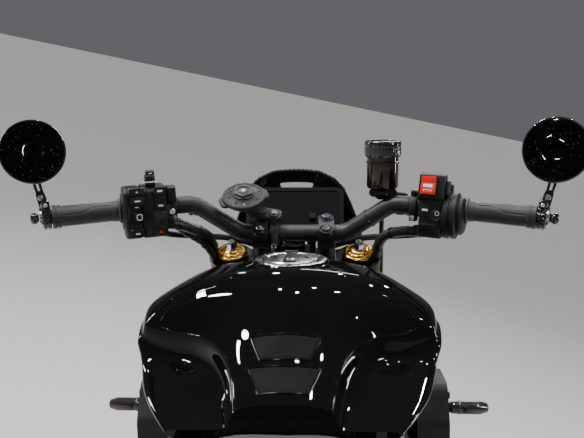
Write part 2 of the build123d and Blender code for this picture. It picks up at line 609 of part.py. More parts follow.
def tank_section(row, inset=0.0):
    """One closed cross-section: flat bottom, leaning sides, arched shoulders and crown."""
    y, bottom_z, bottom, wide, wide_z, shoulder, shoulder_z, top_z = row
    bottom_z, bottom, wide = bottom_z + inset, bottom - inset, wide - inset
    shoulder, shoulder_z, top_z = shoulder - inset / 2, shoulder_z - inset, top_z - inset
    mid_x = shoulder + (wide - shoulder) * 0.74
    mid_z = wide_z + (shoulder_z - wide_z) * 0.66
    right = [
        Line((bottom, y, bottom_z), (wide, y, wide_z)),
        ThreePointArc((wide, y, wide_z), (mid_x, y, mid_z), (shoulder, y, shoulder_z)),
    ]
    crown = ThreePointArc((shoulder, y, shoulder_z), (0, y, top_z), (-shoulder, y, shoulder_z))
    left = [
        ThreePointArc((-shoulder, y, shoulder_z), (-mid_x, y, mid_z), (-wide, y, wide_z)),
        Line((-wide, y, wide_z), (-bottom, y, bottom_z)),
    ]
    return make_face(Wire(right + [crown] + left + [Line((-bottom, y, bottom_z), (bottom, y, bottom_z))]))


TANK_SKIN = 6.0
tank_outer = loft([tank_section(row) for row in TANK])
tank_inner = loft([tank_section(row, TANK_SKIN) for row in TANK[1:-1]])
TANK_NOSE_N = -71.0
nose_cut = STEER * (Pos(0, 200 + TANK_NOSE_N, 700) * Box(600, 400, 900))


def knee_scoop():
    """A hollow for one knee: a long rounded wedge taken out of the tank's rear flank."""
    outline = [(188, 905), (150, 928), (60, 900), (-60, 850), (-60, 700), (70, 700), (160, 780)]
    wedge = side_slab(outline, 0, 200, 22)
    lean = Plane(origin=(104, 60, 840), x_dir=(0, 1, 0), z_dir=(1, 0.42, 0.22))
    return lean * (Pos(0, 0, 150) * Box(420, 320, 300)) & wedge


scoop = knee_scoop()
FILLER = Vector(0, 266, 990)
FILLER_R = 55.0
LID_R = 41.0
filler_boss = Pos(FILLER.X, FILLER.Y, 985) * Cylinder(FILLER_R, 18)
lid_well = Pos(FILLER.X, FILLER.Y, 996) * Cylinder(LID_R + 1.5, 12)
tank = tank_outer - nose_cut - scoop - mirror(scoop, about=Plane.YZ)
tank = tank + filler_boss - lid_well
save("fuel_tank", tank)
lid = Pos(FILLER.X, FILLER.Y, 994) * Cylinder(LID_R, 7)
save("filler_lid", lid)

# Frame: head tube, twin upper and lower spars, struts, pivot plates and a looped rear subframe
SPAR_R = 15.0
head_middle = (LOWER_CLAMP_S + 34 + TOP_CLAMP_S) / 2
head_length = TOP_CLAMP_S - LOWER_CLAMP_S - 34 - 12
head_tube = STEER * (Pos(0, 0, head_middle) * Cylinder(30, head_length))
head_bore = STEER * (Pos(0, 0, head_middle) * Cylinder(STEM_R + 5.5, head_length + 10))
FRAME_TUBES = [
    # points on the right side, bend radii, tube radius
    ([(12, 416, 866), (70, 356, 832), (150, 262, 772), (158, 40, 752), (116, -92, 640)], [60, 70, 70], SPAR_R),
    ([(12, 444, 808), (80, 384, 770), (176, 318, 664), (170, 60, 600), (114, -95, 500)], [50, 60, 60], SPAR_R),
    ([(156, 250, 770), (174, 180, 634)], [], 11),
    ([(174, 250, 650), (158, 110, 757)], [], 11),
    ([(158, 100, 757), (166, 10, 584)], [], 11),
    ([(156, 30, 750), (112, -60, 768), (104, -420, 824), (60, -496, 836), (0, -500, 838)], [60, 60, 30], 12),
    ([(116, -100, 560), (104, -330, 800)], [], 10),
]
RAIL_POINTS, RAIL_BENDS, RAIL_R = FRAME_TUBES[5]
frame_parts = [head_tube]
for points, bends, radius in FRAME_TUBES:
    side_tube = tube(points, bends, radius)
    frame_parts += both(side_tube)
PLATE = [(-60, 660), (-118, 660), (-136, 560), (-132, 350), (-106, 286), (-66, 300), (-62, 480)]
plate = side_slab(PLATE, 119, 133, 8)
frame_parts += both(plate)
UPPER_BOLT, LOWER_BOLT = (-88, 486), (-90, 308)
for y, z, half, radius in ((-100, 628, 126, 13), (*UPPER_BOLT, 126, 10), (*LOWER_BOLT, 126, 10), (-300, 805, 104, 9)):
    frame_parts.append(rod((-half, y, z), (half, y, z), radius))
PANEL_BOSSES = [(-150, 782, 110), (-185, 649, 112)]
for y, z, x in PANEL_BOSSES:
    frame_parts += both(rod((x, y, z), (150, y, z), 6))
HEAD_HALF = 140.0
frame_parts += both(rod((HEAD_HALF, 256, 648), (176, 256, 648), 12))
tank_posts = both(rod((150, 150, 762), (136, 150, 812), 10))
frame_parts += [post - tank_outer for post in tank_posts]
pivot_hole = across(PIVOT_Y, PIVOT_Z) * Cylinder(11 + FIT, 400)
frame = joined(frame_parts) - head_bore - pivot_hole
save("frame", frame)

# Engine: crankcase, gearbox, finned cylinders, head and cam cover, then the round side covers
CRANKCASE = [(20, 300), (20, 492), (110, 512), (330, 470), (352, 410), (345, 310), (292, 238), (60, 232)]
GEARBOX = [(24, 250), (24, 500), (-20, 498), (-58, 470), (-62, 300), (-30, 250)]
engine_parts = [
    side_slab(CRANKCASE, -ENGINE_HALF, ENGINE_HALF, 18),
    side_slab(GEARBOX, -84, 118, 12),
    side_slab([(90, 236), (250, 236), (230, 196), (110, 196)], -80, 80, 8),
]
for y, z in (UPPER_BOLT, LOWER_BOLT):
    ears = joined(both(side_slab([(-56, z - 18), (-100, z - 18), (-100, z + 16), (-56, z + 16)], 30, 48, 8)))
    engine_parts += (ears - across(y, z) * Cylinder(10 + FIT, 300)).solids()
CYLINDER_TILT = 17.0
barrel = Plane(
    origin=(0, 214, 480), x_dir=(1, 0, 0), z_dir=(0, sin(radians(CYLINDER_TILT)), cos(radians(CYLINDER_TILT)))
)
engine_parts.append(block((0, 0, 60), (252, 168, 130), barrel))
for i in range(7):
    fin = fillet(Box(2 * HEAD_HALF, 198, 4).edges().filter_by(Axis.Z), 22)
    engine_parts.append(barrel * (Pos(0, 0, 28 + i * 12) * fin))
engine_parts.append(block((0, 0, 146), (2 * HEAD_HALF, 196, 60), barrel))
cam_cover = Pos(0, 0, 192) * Box(2 * HEAD_HALF - 14, 178, 46)
cam_cover = fillet(cam_cover.edges().filter_by(Axis.X).group_by(Axis.Z)[-1], 22)
engine_parts.append(barrel * cam_cover)
output_shaft = across(SPROCKET_Y, SPROCKET_Z, -98) * Cylinder(14, 40)
front_sprocket = across(SPROCKET_Y, SPROCKET_Z, CHAIN_X) * Cylinder(pitch_radius(FRONT_TEETH) - 8, 7)
engine_parts += [output_shaft, front_sprocket]
save("engine", joined(engine_parts))


def round_cover(y, z, radius, x, out, side):
    """A domed side cover turned about the crank's direction, with a raised inner ring."""
    plane = Plane(origin=(x * side, y, z), x_dir=(0, 1, 0), z_dir=(side, 0, 0))
    profile = [
        (0, 0.1),
        (radius, 0.1),
        (radius, out * 0.3),
        (radius - 12, out * 0.75),
        (radius * 0.72, out * 0.86),
        (radius * 0.68, out),
        (0, out),
    ]
    return turned(profile, plane)


clutch = round_cover(86, 390, 92, ENGINE_HALF, 52, 1)
crank_cap = round_cover(262, 352, 58, ENGINE_HALF, 34, 1)
alternator = round_cover(262, 356, 78, ENGINE_HALF, 56, -1)
starter = round_cover(120, 440, 44, ENGINE_HALF, 30, -1)
sprocket_cover = side_slab([(19.9, 352), (19.9, 458), (-30, 458), (-58, 430), (-58, 372), (-30, 348)], -134, -120)
save("engine_covers", clutch + crank_cap, alternator, starter, sprocket_cover)

# Radiator: core between two end tanks, leaning back, hung from the lower spars
RADIATOR = Plane(origin=(0, 420, 597), x_dir=(1, 0, 0), z_dir=(0, -0.145, 0.989))
core = block((0, 0, 0), (268, 28, 230), RADIATOR)
end_tanks = both(block((146, 0, 0), (24, 36, 240), RADIATOR))
filler_neck = RADIATOR * (Pos(118, 0, 124) * Cylinder(17, 22))
radiator_stays = both(rod((120, 396, 706), (120, 354, 728), 7))
save("radiator", joined([core, filler_neck] + end_tanks + radiator_stays) - frame)

# Shrouds beside the radiator: a curved outer shell each side, open towards the radiator
SHROUD = [(470, 640), (458, 728), (392, 778), (300, 784), (262, 730), (270, 620), (330, 560), (440, 566)]
SHROUD_IN, SHROUD_OUT, SHROUD_WALL = 196, 246, 7
shroud_outer = side_slab(SHROUD, SHROUD_IN, SHROUD_OUT, 26)
shroud_face = make_face(FilletPolyline(*SHROUD, radius=26, close=True))
shroud_inner = extrude(Plane.YZ.offset(SHROUD_IN - 1) * offset(shroud_face, -SHROUD_WALL), SHROUD_OUT - SHROUD_IN + 1 - SHROUD_WALL)
shroud_lugs = [rod((158.2, y, z), (200, y, z), 7) for y, z in ((417, 620), (405, 700))]
shroud_arms = [side_slab([(y - 7, z - 7), (y - 7, z + 7), (y + 62, z + 7), (y + 62, z - 7)], 198, 206) for y, z in ((405, 620), (398, 700))]
shroud = joined([shroud_outer - shroud_inner] + shroud_lugs + shroud_arms)
save("radiator_shrouds", *both(shroud))

# Exhaust: three headers sweeping under the engine into a collector, then a silencer on the right
HEADER_R = 18.5
PORT_FACE = 98.0  # front face of the cylinder head, in the barrel's frame
MUFFLER_START = Vector(182, -150, 262)
MUFFLER_END = Vector(214, -520, 372)
MUFFLER_DIR = (MUFFLER_END - MUFFLER_START).normalized()
headers = []
for x, gather in ((-84, -43), (0, 0), (84, 43)):
    start = barrel.from_local_coords(Vector(x, PORT_FACE, 140))
    knee_point = barrel.from_local_coords(Vector(x, 134, 140))
    route = [start, knee_point, (x, 381, 440), (0.8 * x + 0.2 * gather, 366, 250), (gather, 300, 172), (gather, 226, 168)]
    headers.append(tube(route, [22, 60, 50, 36], HEADER_R))
collector = loft(
    [
        Plane(origin=(0, 240, 168), x_dir=(1, 0, 0), z_dir=(0, -1, 0)) * RectangleRounded(130, 46, 22),
        Plane(origin=(0, 118, 168), x_dir=(1, 0, 0), z_dir=(0, -1, 0)) * RectangleRounded(56, 50, 24),
    ]
)
link_pipe = tube([(0, 122, 168), (0, 70, 168), MUFFLER_START - MUFFLER_DIR * 60, MUFFLER_START], [80, 50], 24)
save("exhaust_headers", joined([collector, link_pipe] + headers))
muffler_plane = Plane(origin=MUFFLER_START, z_dir=MUFFLER_DIR)
muffler_length = (MUFFLER_END - MUFFLER_START).length
muffler = turned(
    [
        (0, 0),
        (30, 0),
        (52, 40),
        (52, muffler_length - 34),
        (44, muffler_length),
        (24, muffler_length),
        (24, muffler_length - 60),
        (0, muffler_length - 60),
    ],
    muffler_plane,
)
strap = rod((143, -246, 416), (152, -246, 416), 9) + rod((150, -246, 416), (195, -306, 330), 6)
save("silencer", muffler + strap)

# Swingarm: pivot tube, cross brace and two tapering arms that pass between the chain runs
ARM_SECTIONS = [
    # y, x, z, width, height
    (PIVOT_Y + 8, 98, PIVOT_Z, 26, 52),
    (-300, 112, 372, 24, 56),
    (-500, 136, 342, 24, 52),
    (-748, 138.4, REAR_AXLE_Z, 24, 48),
]
arm_faces = [
    Plane(origin=(x, y, z), x_dir=(1, 0, 0), z_dir=(0, -1, 0)) * Rectangle(width, height)
    for y, x, z, width, height in ARM_SECTIONS
]
arm = loft(arm_faces, ruled=True)
brace = side_slab([(-150, 360), (-150, 420), (-226, 410), (-226, 352)], -96, 96, 8)
pivot_tube = across(PIVOT_Y, PIVOT_Z) * Cylinder(26, 216)
shock_tab = side_slab([(-140, 400), (-140, 450), (-176, 450), (-200, 400)], -14, 14)
shock_plane = Plane(origin=(0, -160, 452), x_dir=(1, 0, 0), z_dir=(0, 62, 162))
shock_tab = shock_tab - shock_plane * (Pos(0, 0, 20) * Cylinder(16, 40))
swingarm = joined([pivot_tube, brace, shock_tab] + both(arm)) - pivot_hole
swingarm = swingarm - across(REAR_AXLE.Y, REAR_AXLE.Z) * Cylinder(AXLE_R + FIT, 400)
save("swingarm", swingarm)
rear_axle = across(REAR_AXLE.Y, REAR_AXLE.Z) * Cylinder(AXLE_R, 316)
nuts = both(across(REAR_AXLE.Y, REAR_AXLE.Z, 150.2) * extrude(RegularPolygon(17, 6), 10))
spacers = both(across(REAR_AXLE.Y, REAR_AXLE.Z, 118.6) * Cylinder(19, 13.2))
pivot_bolt = across(PIVOT_Y, PIVOT_Z) * Cylinder(11, 280)
save("rear_axle", joined([rear_axle] + nuts + spacers), pivot_bolt)

# Rear shock: eyes, body, spring coils as turned ribs
shock_length = 172.0
coil = [(0, 0), (14, 0), (14, 16), (34, 16), (34, 22)]
for i in range(6):
    base = 24 + i * 17
    coil += [(24, base), (24, base + 4), (33, base + 7), (33, base + 12), (24, base + 15)]
coil += [(34, 128), (34, 134), (17, 134), (17, shock_length), (0, shock_length)]
save("rear_shock", turned(coil, shock_plane) - frame)

# Seat: a flat padded saddle, then the humped tail with its lamp
SEAT = [
    # y, half width, bottom z, side z, top z
    (20, 98, 790, 812, 828),
    (-40, 104, 786, 804, 822),
    (-140, 126, 786, 802, 818),
    (-250, 132, 800, 818, 834),
    (-322, 124, 816, 836, 850),
]


def saddle_section(y, half, bottom, side, top):
    """A padded section: flat base, upright sides and a crowned top."""
    return make_face(
        Wire(
            [
                Line((-half + 8, y, bottom), (half - 8, y, bottom)),
                Line((half - 8, y, bottom), (half, y, side)),
                ThreePointArc((half, y, side), (0, y, top), (-half, y, side)),
                Line((-half, y, side), (-half + 8, y, bottom)),
            ]
        )
    )


rail_space = both(tube(RAIL_POINTS, RAIL_BENDS, RAIL_R + 0.2))
seat = loft([saddle_section(*row) for row in SEAT])
save("seat", seat - rail_space[0] - rail_space[1] - frame)
TAIL = [
    (-324, 128, 816, 840, 878),
    (-380, 122, 822, 848, 896),
    (-450, 104, 836, 858, 894),
    (-530, 74, 850, 866, 882),
]
tail_body = loft([saddle_section(*row) for row in TAIL])
save("tail_cowl", tail_body - rail_space[0] - rail_space[1])
tail_lamp = block((0, -536.6, 864), (96, 13, 20))
tail_lamp = fillet(tail_lamp.edges().filter_by(Axis.Y), 8)
save("tail_light", tail_lamp)

# Plate holder under the tail, with a blank plate and a stem for the rear signals
holder = side_slab([(-484, 850), (-524, 850), (-644, 800), (-672, 690), (-660, 687), (-630, 784)], -20, 20)
plate_plane = Plane(origin=(0, -660, 745.4), x_dir=(1, 0, 0), z_dir=(0, -0.969, 0.247))
plate_board = plate_plane * fillet(Box(178, 118, 4).edges().filter_by(Axis.Z), 8)
save("plate_holder", (holder + plate_board) - tail_body - rail_space[0] - rail_space[1])

# Turn signals: slim capsules on short stalks, front pair by the radiator and rear pair under the tail
SIGNALS = [
    # root point, stalk end x, tip x
    ((SHROUD_OUT, 450, 684), 268, 344),
    ((20, -566, 816), 62, 136),
]


def signal(root, stalk_x, tip_x):
    _, y, z = root
    stalk = rod(root, (stalk_x + 4, y, z), 6)
    lamp = turned(
        [(0, 0), (6, 0), (11, 9), (12, 20), (12, tip_x - stalk_x - 16), (8, tip_x - stalk_x - 4), (0, tip_x - stalk_x)],
        Plane(origin=(stalk_x, y, z), x_dir=(0, 1, 0), z_dir=(1, 0, 0)),
    )
    return stalk + lamp


save("turn_signals", *[s for row in SIGNALS for s in both(signal(*row))])

# Side panels under the seat
PANEL = [(-40, 748), (-56, 776), (-250, 792), (-290, 776), (-200, 632), (-140, 596), (-52, 620)]
panel = side_slab(PANEL, 150, 156, 20)
save("side_panels", *both(panel))

# Peg hangers, pegs and foot levers
HANGER = [(-78, 470), (-100, 520), (-150, 520), (-264, 440), (-260, 396), (-190, 380), (-110, 420)]
hanger = side_slab(HANGER, 133, 143, 10)
save("peg_hangers", *both(hanger))
PEG_Y, PEG_Z = -214.0, 412.0
peg = block((212, PEG_Y, PEG_Z), (88, 30, 20))
peg = fillet(peg.edges().filter_by(Axis.Z), 6) + rod((143, PEG_Y, PEG_Z), (172, PEG_Y, PEG_Z), 9)
save("footpegs", *both(peg))
shift = tube([(-150, -150, 424), (-160, -60, 392), (-166, -20, 376)], [80], 5) + rod((-160, -28, 379), (-196, -28, 379), 8)
shift = shift + rod((-143, -150, 424), (-158, -150, 424), 10)
brake_pedal = tube([(150, -150, 424), (172, -60, 376), (206, -24, 362)], [60], 6) + block((210, -22, 364), (34, 28, 10))
brake_pedal = brake_pedal + rod((143, -150, 424), (158, -150, 424), 10)
save("foot_levers", shift, brake_pedal)

# Rear caliper over the disc, its bracket seated on the swingarm
rear_caliper = caliper(REAR_AXLE, REAR_DISC_X, 64, 120, 78, 44, 46, 12)
bracket = rod((119, REAR_AXLE.Y + 56, REAR_AXLE.Z + 52), (136, REAR_AXLE.Y + 66, REAR_AXLE.Z + 16), 7)
save("rear_caliper", (rear_caliper + bracket) - swingarm)

# Side stand: a leg that swings on a pin in the bracket, and a foot that lies flat on the road when leant
STAND_PIVOT = Vector(-162, 40, 262)
FOOT_SIDE, FOOT_Y = -268.0, 76.0  # the foot's place on the road, from the point under the wheels' middle line
STAND_TUCKED = Vector(-0.14, -0.988, 0.06).normalized()
FOOT_THICK = 8.0
STAND_FOOT = Vector(
    FOOT_SIDE * LEAN_COS - PARK_Z * LEAN_SIN, FOOT_Y, -FOOT_SIDE * LEAN_SIN - PARK_Z * LEAN_COS
)
STAND_OUT = (STAND_FOOT - STAND_PIVOT).normalized()
STAND_AXIS = STAND_OUT.cross(STAND_TUCKED).normalized()
hinge = Plane(origin=STAND_PIVOT, z_dir=STAND_AXIS)
ROAD_UP = Vector(LEAN_SIN, 0, LEAN_COS)
foot_plane = Plane(origin=STAND_FOOT, x_dir=(0, 1, 0), z_dir=ROAD_UP)
foot = foot_plane * (Pos(0, 0, FOOT_THICK / 2) * fillet(Box(66, 46, FOOT_THICK).edges().filter_by(Axis.Z), 14))
ankle = STAND_FOOT + ROAD_UP * (FOOT_THICK + 4)
PIN_R = 6.0
stand_leg = joined([rod(STAND_PIVOT, ankle, 10), hinge * Cylinder(17, 20), foot]) - hinge * Cylinder(PIN_R + FIT, 40)
save("side_stand", stand_leg)
stand_lug = side_slab([(78, 300), (6, 300), (6, 236), (78, 236)], -160, -ENGINE_HALF, 10)
stand_lug = stand_lug - hinge * Cylinder(70, 21)
pin = hinge * Cylinder(PIN_R, 44)
save("stand_bracket", stand_lug + (pin - side_slab([(78, 300), (6, 300), (6, 236), (78, 236)], -ENGINE_HALF, 0)))
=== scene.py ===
import json
from math import atan2, cos, pi, radians, sin, tan

import bmesh
import bpy
from mathutils import Matrix, Vector
from mathutils.bvhtree import BVHTree


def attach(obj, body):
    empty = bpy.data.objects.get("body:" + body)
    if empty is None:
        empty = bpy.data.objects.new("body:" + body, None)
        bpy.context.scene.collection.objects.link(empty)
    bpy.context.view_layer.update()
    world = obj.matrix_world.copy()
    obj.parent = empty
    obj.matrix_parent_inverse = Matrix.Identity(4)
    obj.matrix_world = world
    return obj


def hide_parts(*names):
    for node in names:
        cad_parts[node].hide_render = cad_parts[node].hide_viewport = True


# Looks of a parked cafe racer motorcycle. Lengths below are millimetres on the upright machine,
# facing +Y with +X on the rider's right; PARKED leans them on the side stand and puts them in metres.
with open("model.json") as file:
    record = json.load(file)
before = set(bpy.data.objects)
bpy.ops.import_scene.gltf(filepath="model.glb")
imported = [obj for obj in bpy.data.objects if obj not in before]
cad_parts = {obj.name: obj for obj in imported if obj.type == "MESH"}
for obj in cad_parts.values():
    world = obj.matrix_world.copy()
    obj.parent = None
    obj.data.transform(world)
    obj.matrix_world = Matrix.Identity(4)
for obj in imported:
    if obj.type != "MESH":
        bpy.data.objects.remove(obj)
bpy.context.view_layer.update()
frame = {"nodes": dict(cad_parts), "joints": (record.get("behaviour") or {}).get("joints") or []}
NODES = frame["nodes"]
JOINTS = {joint["name"]: joint for joint in frame["joints"]}
MM = 0.001

# Driving dimensions of the machine
FRONT_AXLE = Vector((0, 730, 300))
FRONT_RADIUS, REAR_RADIUS = 300.0, 320.0
RAKE = radians(25)
FORK_OFFSET, FORK_HALF = 34.0, 108.0
TOP_CLAMP_TOP = 734.0
BAR_MIDDLE = Vector((0, 368, 1015))
BAR_BEND_HIGH = Vector((160, 352, 1066))
BAR_TIP = Vector((388, 276, 1054))
BAR_R, GRIP_BAR_R = 14.0, 11.0
RISER_X = 53.5
FILLER = Vector((0, 266, 990))
FILLER_R, LID_R = 55.0, 41.0
CHAIN_X = -108.0
CHAIN_PITCH, REAR_TEETH, FRONT_TEETH = 15.875, 45, 16
SPROCKET = Vector((CHAIN_X, -30, 402))

wheel_axis = JOINTS["front_wheel_spin"]["axis"]
LEAN = atan2(wheel_axis[2], wheel_axis[0])
PARKED = (
    Matrix.Translation(JOINTS["front_wheel_spin"]["pos_m"])
    @ Matrix.Rotation(-LEAN, 4, "Y")
    @ Matrix.Scale(MM, 4)
    @ Matrix.Translation(-FRONT_AXLE)
)
REAR_AXLE = PARKED.inverted() @ Vector(JOINTS["rear_wheel_spin"]["pos_m"])


# Frames
def axes(origin, z_dir, x_dir=(1, 0, 0)):
    """A frame as a matrix: z along z_dir, and x as near x_dir as it can be."""
    z = Vector(z_dir).normalized()
    x = Vector(x_dir)
    x = (x - z * x.dot(z)).normalized()
    return Matrix.Translation(origin) @ Matrix((x, z.cross(x), z)).transposed().to_4x4()


def at(x, y, z):
    return Matrix.Translation((x, y, z))


def turned(angle, axis="Z"):
    return Matrix.Rotation(radians(angle), 4, axis)


def flipped(up):
    """Turned over about x for -1."""
    return turned(0 if up > 0 else 180, "X")


def sided(side):
    """Mirrors a shape to the left for side -1."""
    return Matrix.Diagonal((side, 1, 1, 1))


def across(y, z, x=0.0, side=1):
    """On one side of the machine, at a point of its side view: local z outwards, local x forwards."""
    return axes((side * x, y, z), (side, 0, 0), (0, 1, 0))


def side_view(x, side=1):
    """Takes outlines drawn in the side view as (y, z) to a distance x from the middle, thick outwards."""
    return Matrix(((0, 0, side, side * x), (1, 0, 0, 0), (0, 1, 0, 0), (0, 0, 0, 1)))


STEER_UP = Vector((0, -sin(RAKE), cos(RAKE)))
STEER_FORWARD = Vector((0, cos(RAKE), sin(RAKE)))
STEER = axes(FRONT_AXLE - STEER_FORWARD * FORK_OFFSET, STEER_UP)
BAR_OUT = (BAR_TIP - BAR_BEND_HIGH).normalized()


def bar_frame(side):
    """At the bar's upper bend: z outwards along the grip, x up, y to the rear."""
    return sided(side) @ axes(BAR_BEND_HIGH, BAR_OUT, (0, 0, 1))


def around(count, radius, start=0.0):
    """Points (x, y) evenly spaced on a circle, the first a share of one step round it."""
    angles = [2 * pi * (i + start) / count for i in range(count)]
    return [(radius * cos(a), radius * sin(a)) for a in angles]


# Shapes: each is a list of points and a list of faces, in millimetres
def rectangle(wide, tall):
    x, y = wide / 2, tall / 2
    return [(-x, -y), (x, -y), (x, y), (-x, y)]


def scaled(points, middle, share):
    """A flat outline drawn smaller about a point."""
    return [tuple(m + (p - m) * share for p, m in zip(point, middle)) for point in points]


def rounded(points, radius, closed=False, steps=6):
    """Points with each corner replaced by an arc."""
    points = [Vector(p).to_3d() for p in points]
    count = len(points)
    out = []
    for i, p in enumerate(points):
        if not closed and i in (0, count - 1):
            out.append(p)
            continue
        a, b = points[i - 1] - p, points[(i + 1) % count] - p
        reach = 0.49 * min(a.length, b.length)
        a.normalize()
        b.normalize()
        opening = a.angle(b)
        if opening > pi - 0.01:
            out.append(p)
            continue
        cut = min(radius / tan(opening / 2), reach)
        middle = p + (a + b).normalized() * (cut / cos(opening / 2))
        start, end = p + a * cut - middle, p + b * cut - middle
        sweep = pi - opening
        for k in range(steps + 1):
            t = k / steps
            out.append(middle + (start * sin((1 - t) * sweep) + end * sin(t * sweep)) / sin(sweep))
    return out


def stitch(low, high):
    """Faces between two closed rings of point numbers; a ring of one point is a pole."""
    count = max(len(low), len(high))
    faces = []
    for i in range(count):
        j = (i + 1) % count
        if len(low) == 1:
            faces.append((low[0], high[j], high[i]))
        elif len(high) == 1:
            faces.append((low[i], low[j], high[0]))
        else:
            faces.append((low[i], low[j], high[j], high[i]))
    return faces


def rings(sections, caps=True, loop=False):
    """A skin over sections with the same number of points each, closed by flat ends."""
    points, numbers, faces = [], [], []
    for section in sections:
        numbers.append(list(range(len(points), len(points) + len(section))))
        points += [Vector(p) for p in section]
    pairs = list(zip(numbers, numbers[1:]))
    if loop:
        pairs.append((numbers[-1], numbers[0]))
    for low, high in pairs:
        faces += stitch(low, high)
    if caps and not loop:
        faces += [tuple(reversed(numbers[0])), tuple(numbers[-1])]
    return points, [f for f in faces if len(f) > 2]


def lathe(profile, sides=48, loop=False, wave=None):
    """A profile of (radius, height) turned about z. A wave makes the radius depend on angle and radius."""
    sections = []
    for r, h in profile:
        if r < 1e-6:
            sections.append([(0, 0, h)])
            continue
        ring = []
        for i in range(sides):
            angle = 2 * pi * i / sides
            reach = wave(angle, r, h) if wave else r
            ring.append((reach * cos(angle), reach * sin(angle), h))
        sections.append(ring)
    return rings(sections, caps=False, loop=loop)


def notched(count, depth, above, share):
    """A wave that cuts notches into the radii above a limit, a share of each half step wide."""
    return lambda a, r, h: r - (depth if r > above and (a * count / pi) % 2 < share else 0)


def hexagon(angle, flat):
    """Distance to the side of a hexagon with its flats at that distance."""
    return flat / cos((angle + pi / 6) % (pi / 3) - pi / 6)


def grown(outline, distance):
    """A closed flat outline moved outwards by a distance."""
    count = len(outline)
    area = sum(
        outline[i - 1][0] * outline[i][1] - outline[i][0] * outline[i - 1][1] for i in range(count)
    )
    sign = 1 if area > 0 else -1
    out = []
    for i in range(count):
        before, here, after = (Vector(outline[j % count][:2]) for j in (i - 1, i, i + 1))
        a, b = (here - before).normalized(), (after - here).normalized()
        normal = Vector((a.y + b.y, -a.x - b.x)) * sign
        size = normal.length
        normal = normal / size if size > 1e-6 else Vector((0, 0))
        out.append(here + normal * distance / max(size / 2, 0.5))
    return out


def slab(outline, low, high, edge=0.8, steps=2):
    """A flat outline given thickness along z, with rounded edges."""
    edge = min(edge, (high - low) * 0.45)
    turns = [k / steps * pi / 2 for k in range(steps, -1, -1)]
    bottom = [(low + edge * (1 - sin(a)), -edge * (1 - cos(a))) for a in turns]
    top = [(high - (z - low), inset) for z, inset in reversed(bottom)]
    sections = []
    for z, inset in bottom + top:
        ring = grown(outline, inset) if inset else outline
        sections.append([(p[0], p[1], z) for p in ring])
    return rings(sections)


def box(size, edge=1.0, corner=2.0):
    """A block about its centre with rounded corners in plan and softened edges."""
    wide, tall, thick = size
    outline = rounded(rectangle(wide, tall), min(corner, 0.48 * min(wide, tall)), True, 4)
    return slab(outline, -thick / 2, thick / 2, edge)


def brick(size):
    """A plain sharp block about its centre."""
    wide, tall, thick = size
    return rings([[(x, y, h) for x, y in rectangle(wide, tall)] for h in (-thick / 2, thick / 2)])


def frame_ring(wide, tall, line, height, corner=2.0):
    """A raised rectangular outline."""
    outer = rounded(rectangle(wide, tall), corner, True, 3)
    inner = grown(outer, -line)
    low = [[(p[0], p[1], 0) for p in ring] for ring in (outer, inner)]
    high = [[(p[0], p[1], height) for p in ring] for ring in (inner, outer)]
    return rings(low + high, loop=True)


def tube(path, radius, sides=16, loop=False):
    """A round tube along points. The radius may be a list, one for each point."""
    path = [Vector(p) for p in path]
    count = len(path)
    turns = [2 * pi * k / sides for k in range(sides)]
    sections, side_dir = [], None
    for i, p in enumerate(path):
        ahead = path[(i + 1) % count] if loop or i < count - 1 else p
        behind = path[i - 1] if loop or i > 0 else p
        along = (ahead - behind).normalized()
        if side_dir is None:
            side_dir = along.orthogonal().normalized()
        side_dir = (side_dir - along * side_dir.dot(along)).normalized()
        other = along.cross(side_dir)
        r = radius[i] if isinstance(radius, (list, tuple)) else radius
        sections.append([p + (side_dir * cos(a) + other * sin(a)) * r for a in turns])
    return rings(sections, loop=loop)


def spline_points(points):
    """Points along the smooth curve whose control points are given, read from a curve object."""
    curve = bpy.data.curves.new("route", "CURVE")
    curve.dimensions = "3D"
    curve.resolution_u = 8
    spline = curve.splines.new("NURBS")
    spline.points.add(len(points) - 1)
    for point, place in zip(spline.points, points):
        point.co = (*place, 1)
    spline.order_u = 3
    spline.use_endpoint_u = True
    holder = bpy.data.objects.new("route", curve)
    mesh = bpy.data.meshes.new_from_object(holder)
    out = [v.co.copy() for v in mesh.vertices]
    bpy.data.objects.remove(holder)
    bpy.data.curves.remove(curve)
    bpy.data.meshes.remove(mesh)
    return out


def dense(points, step):
    """A closed line cut into nearly equal short pieces."""
    out = []
    for a, b in zip(points, points[1:] + points[:1]):
        a, b = Vector(a), Vector(b)
        count = max(1, round((b - a).length / step))
        out += [a + (b - a) * i / count for i in range(count)]
    return out


def sheet_grid(place, columns, rows):
    """Points place(u, v) over a grid, u and v from 0 to 1, and its faces."""
    width = columns + 1
    points = [Vector(place(i / columns, j / rows)) for j in range(rows + 1) for i in range(width)]
    faces = []
    for j in range(rows):
        for i in range(columns):
            k = i + 1
            faces.append((j * width + i, j * width + k, (j + 1) * width + k, (j + 1) * width + i))
    return points, faces


BOLT_SIDES = 24


def socket_bolt(radius, height):
    """A cap screw: round head with a hexagon socket, standing on z = 0."""
    flat, edge = radius * 0.5, radius * 0.12
    profile = [(radius, 0), (radius, height - edge), (radius - edge, height), (flat * 1.2, height),
               (flat, height), (flat * 0.999, height * 0.35), (0, height * 0.3)]
    return lathe(profile, BOLT_SIDES, wave=lambda a, r, h: hexagon(a, flat) if r < flat * 1.01 else r)


def hex_bolt(radius, height):
    """A hexagon head with a chamfered top on a thin round washer."""
    flat = radius * 0.86
    profile = [(radius * 1.15, 0), (radius * 1.15, height * 0.16), (flat, height * 0.161),
               (flat * 0.999, height * 0.9), (radius * 0.8, height), (0, height)]

    def sides(a, r, h):
        return hexagon(a, flat) if radius * 0.81 < r < flat * 1.01 else r

    return lathe(profile, BOLT_SIDES, wave=sides)


def outward(side, x, places):
    """Spots for bolts on one side of the machine, heads outwards, at places (y, z)."""
    return [((side * x, y, z), (side, 0, 0)) for y, z in places]


UP = (0, 0, 1)


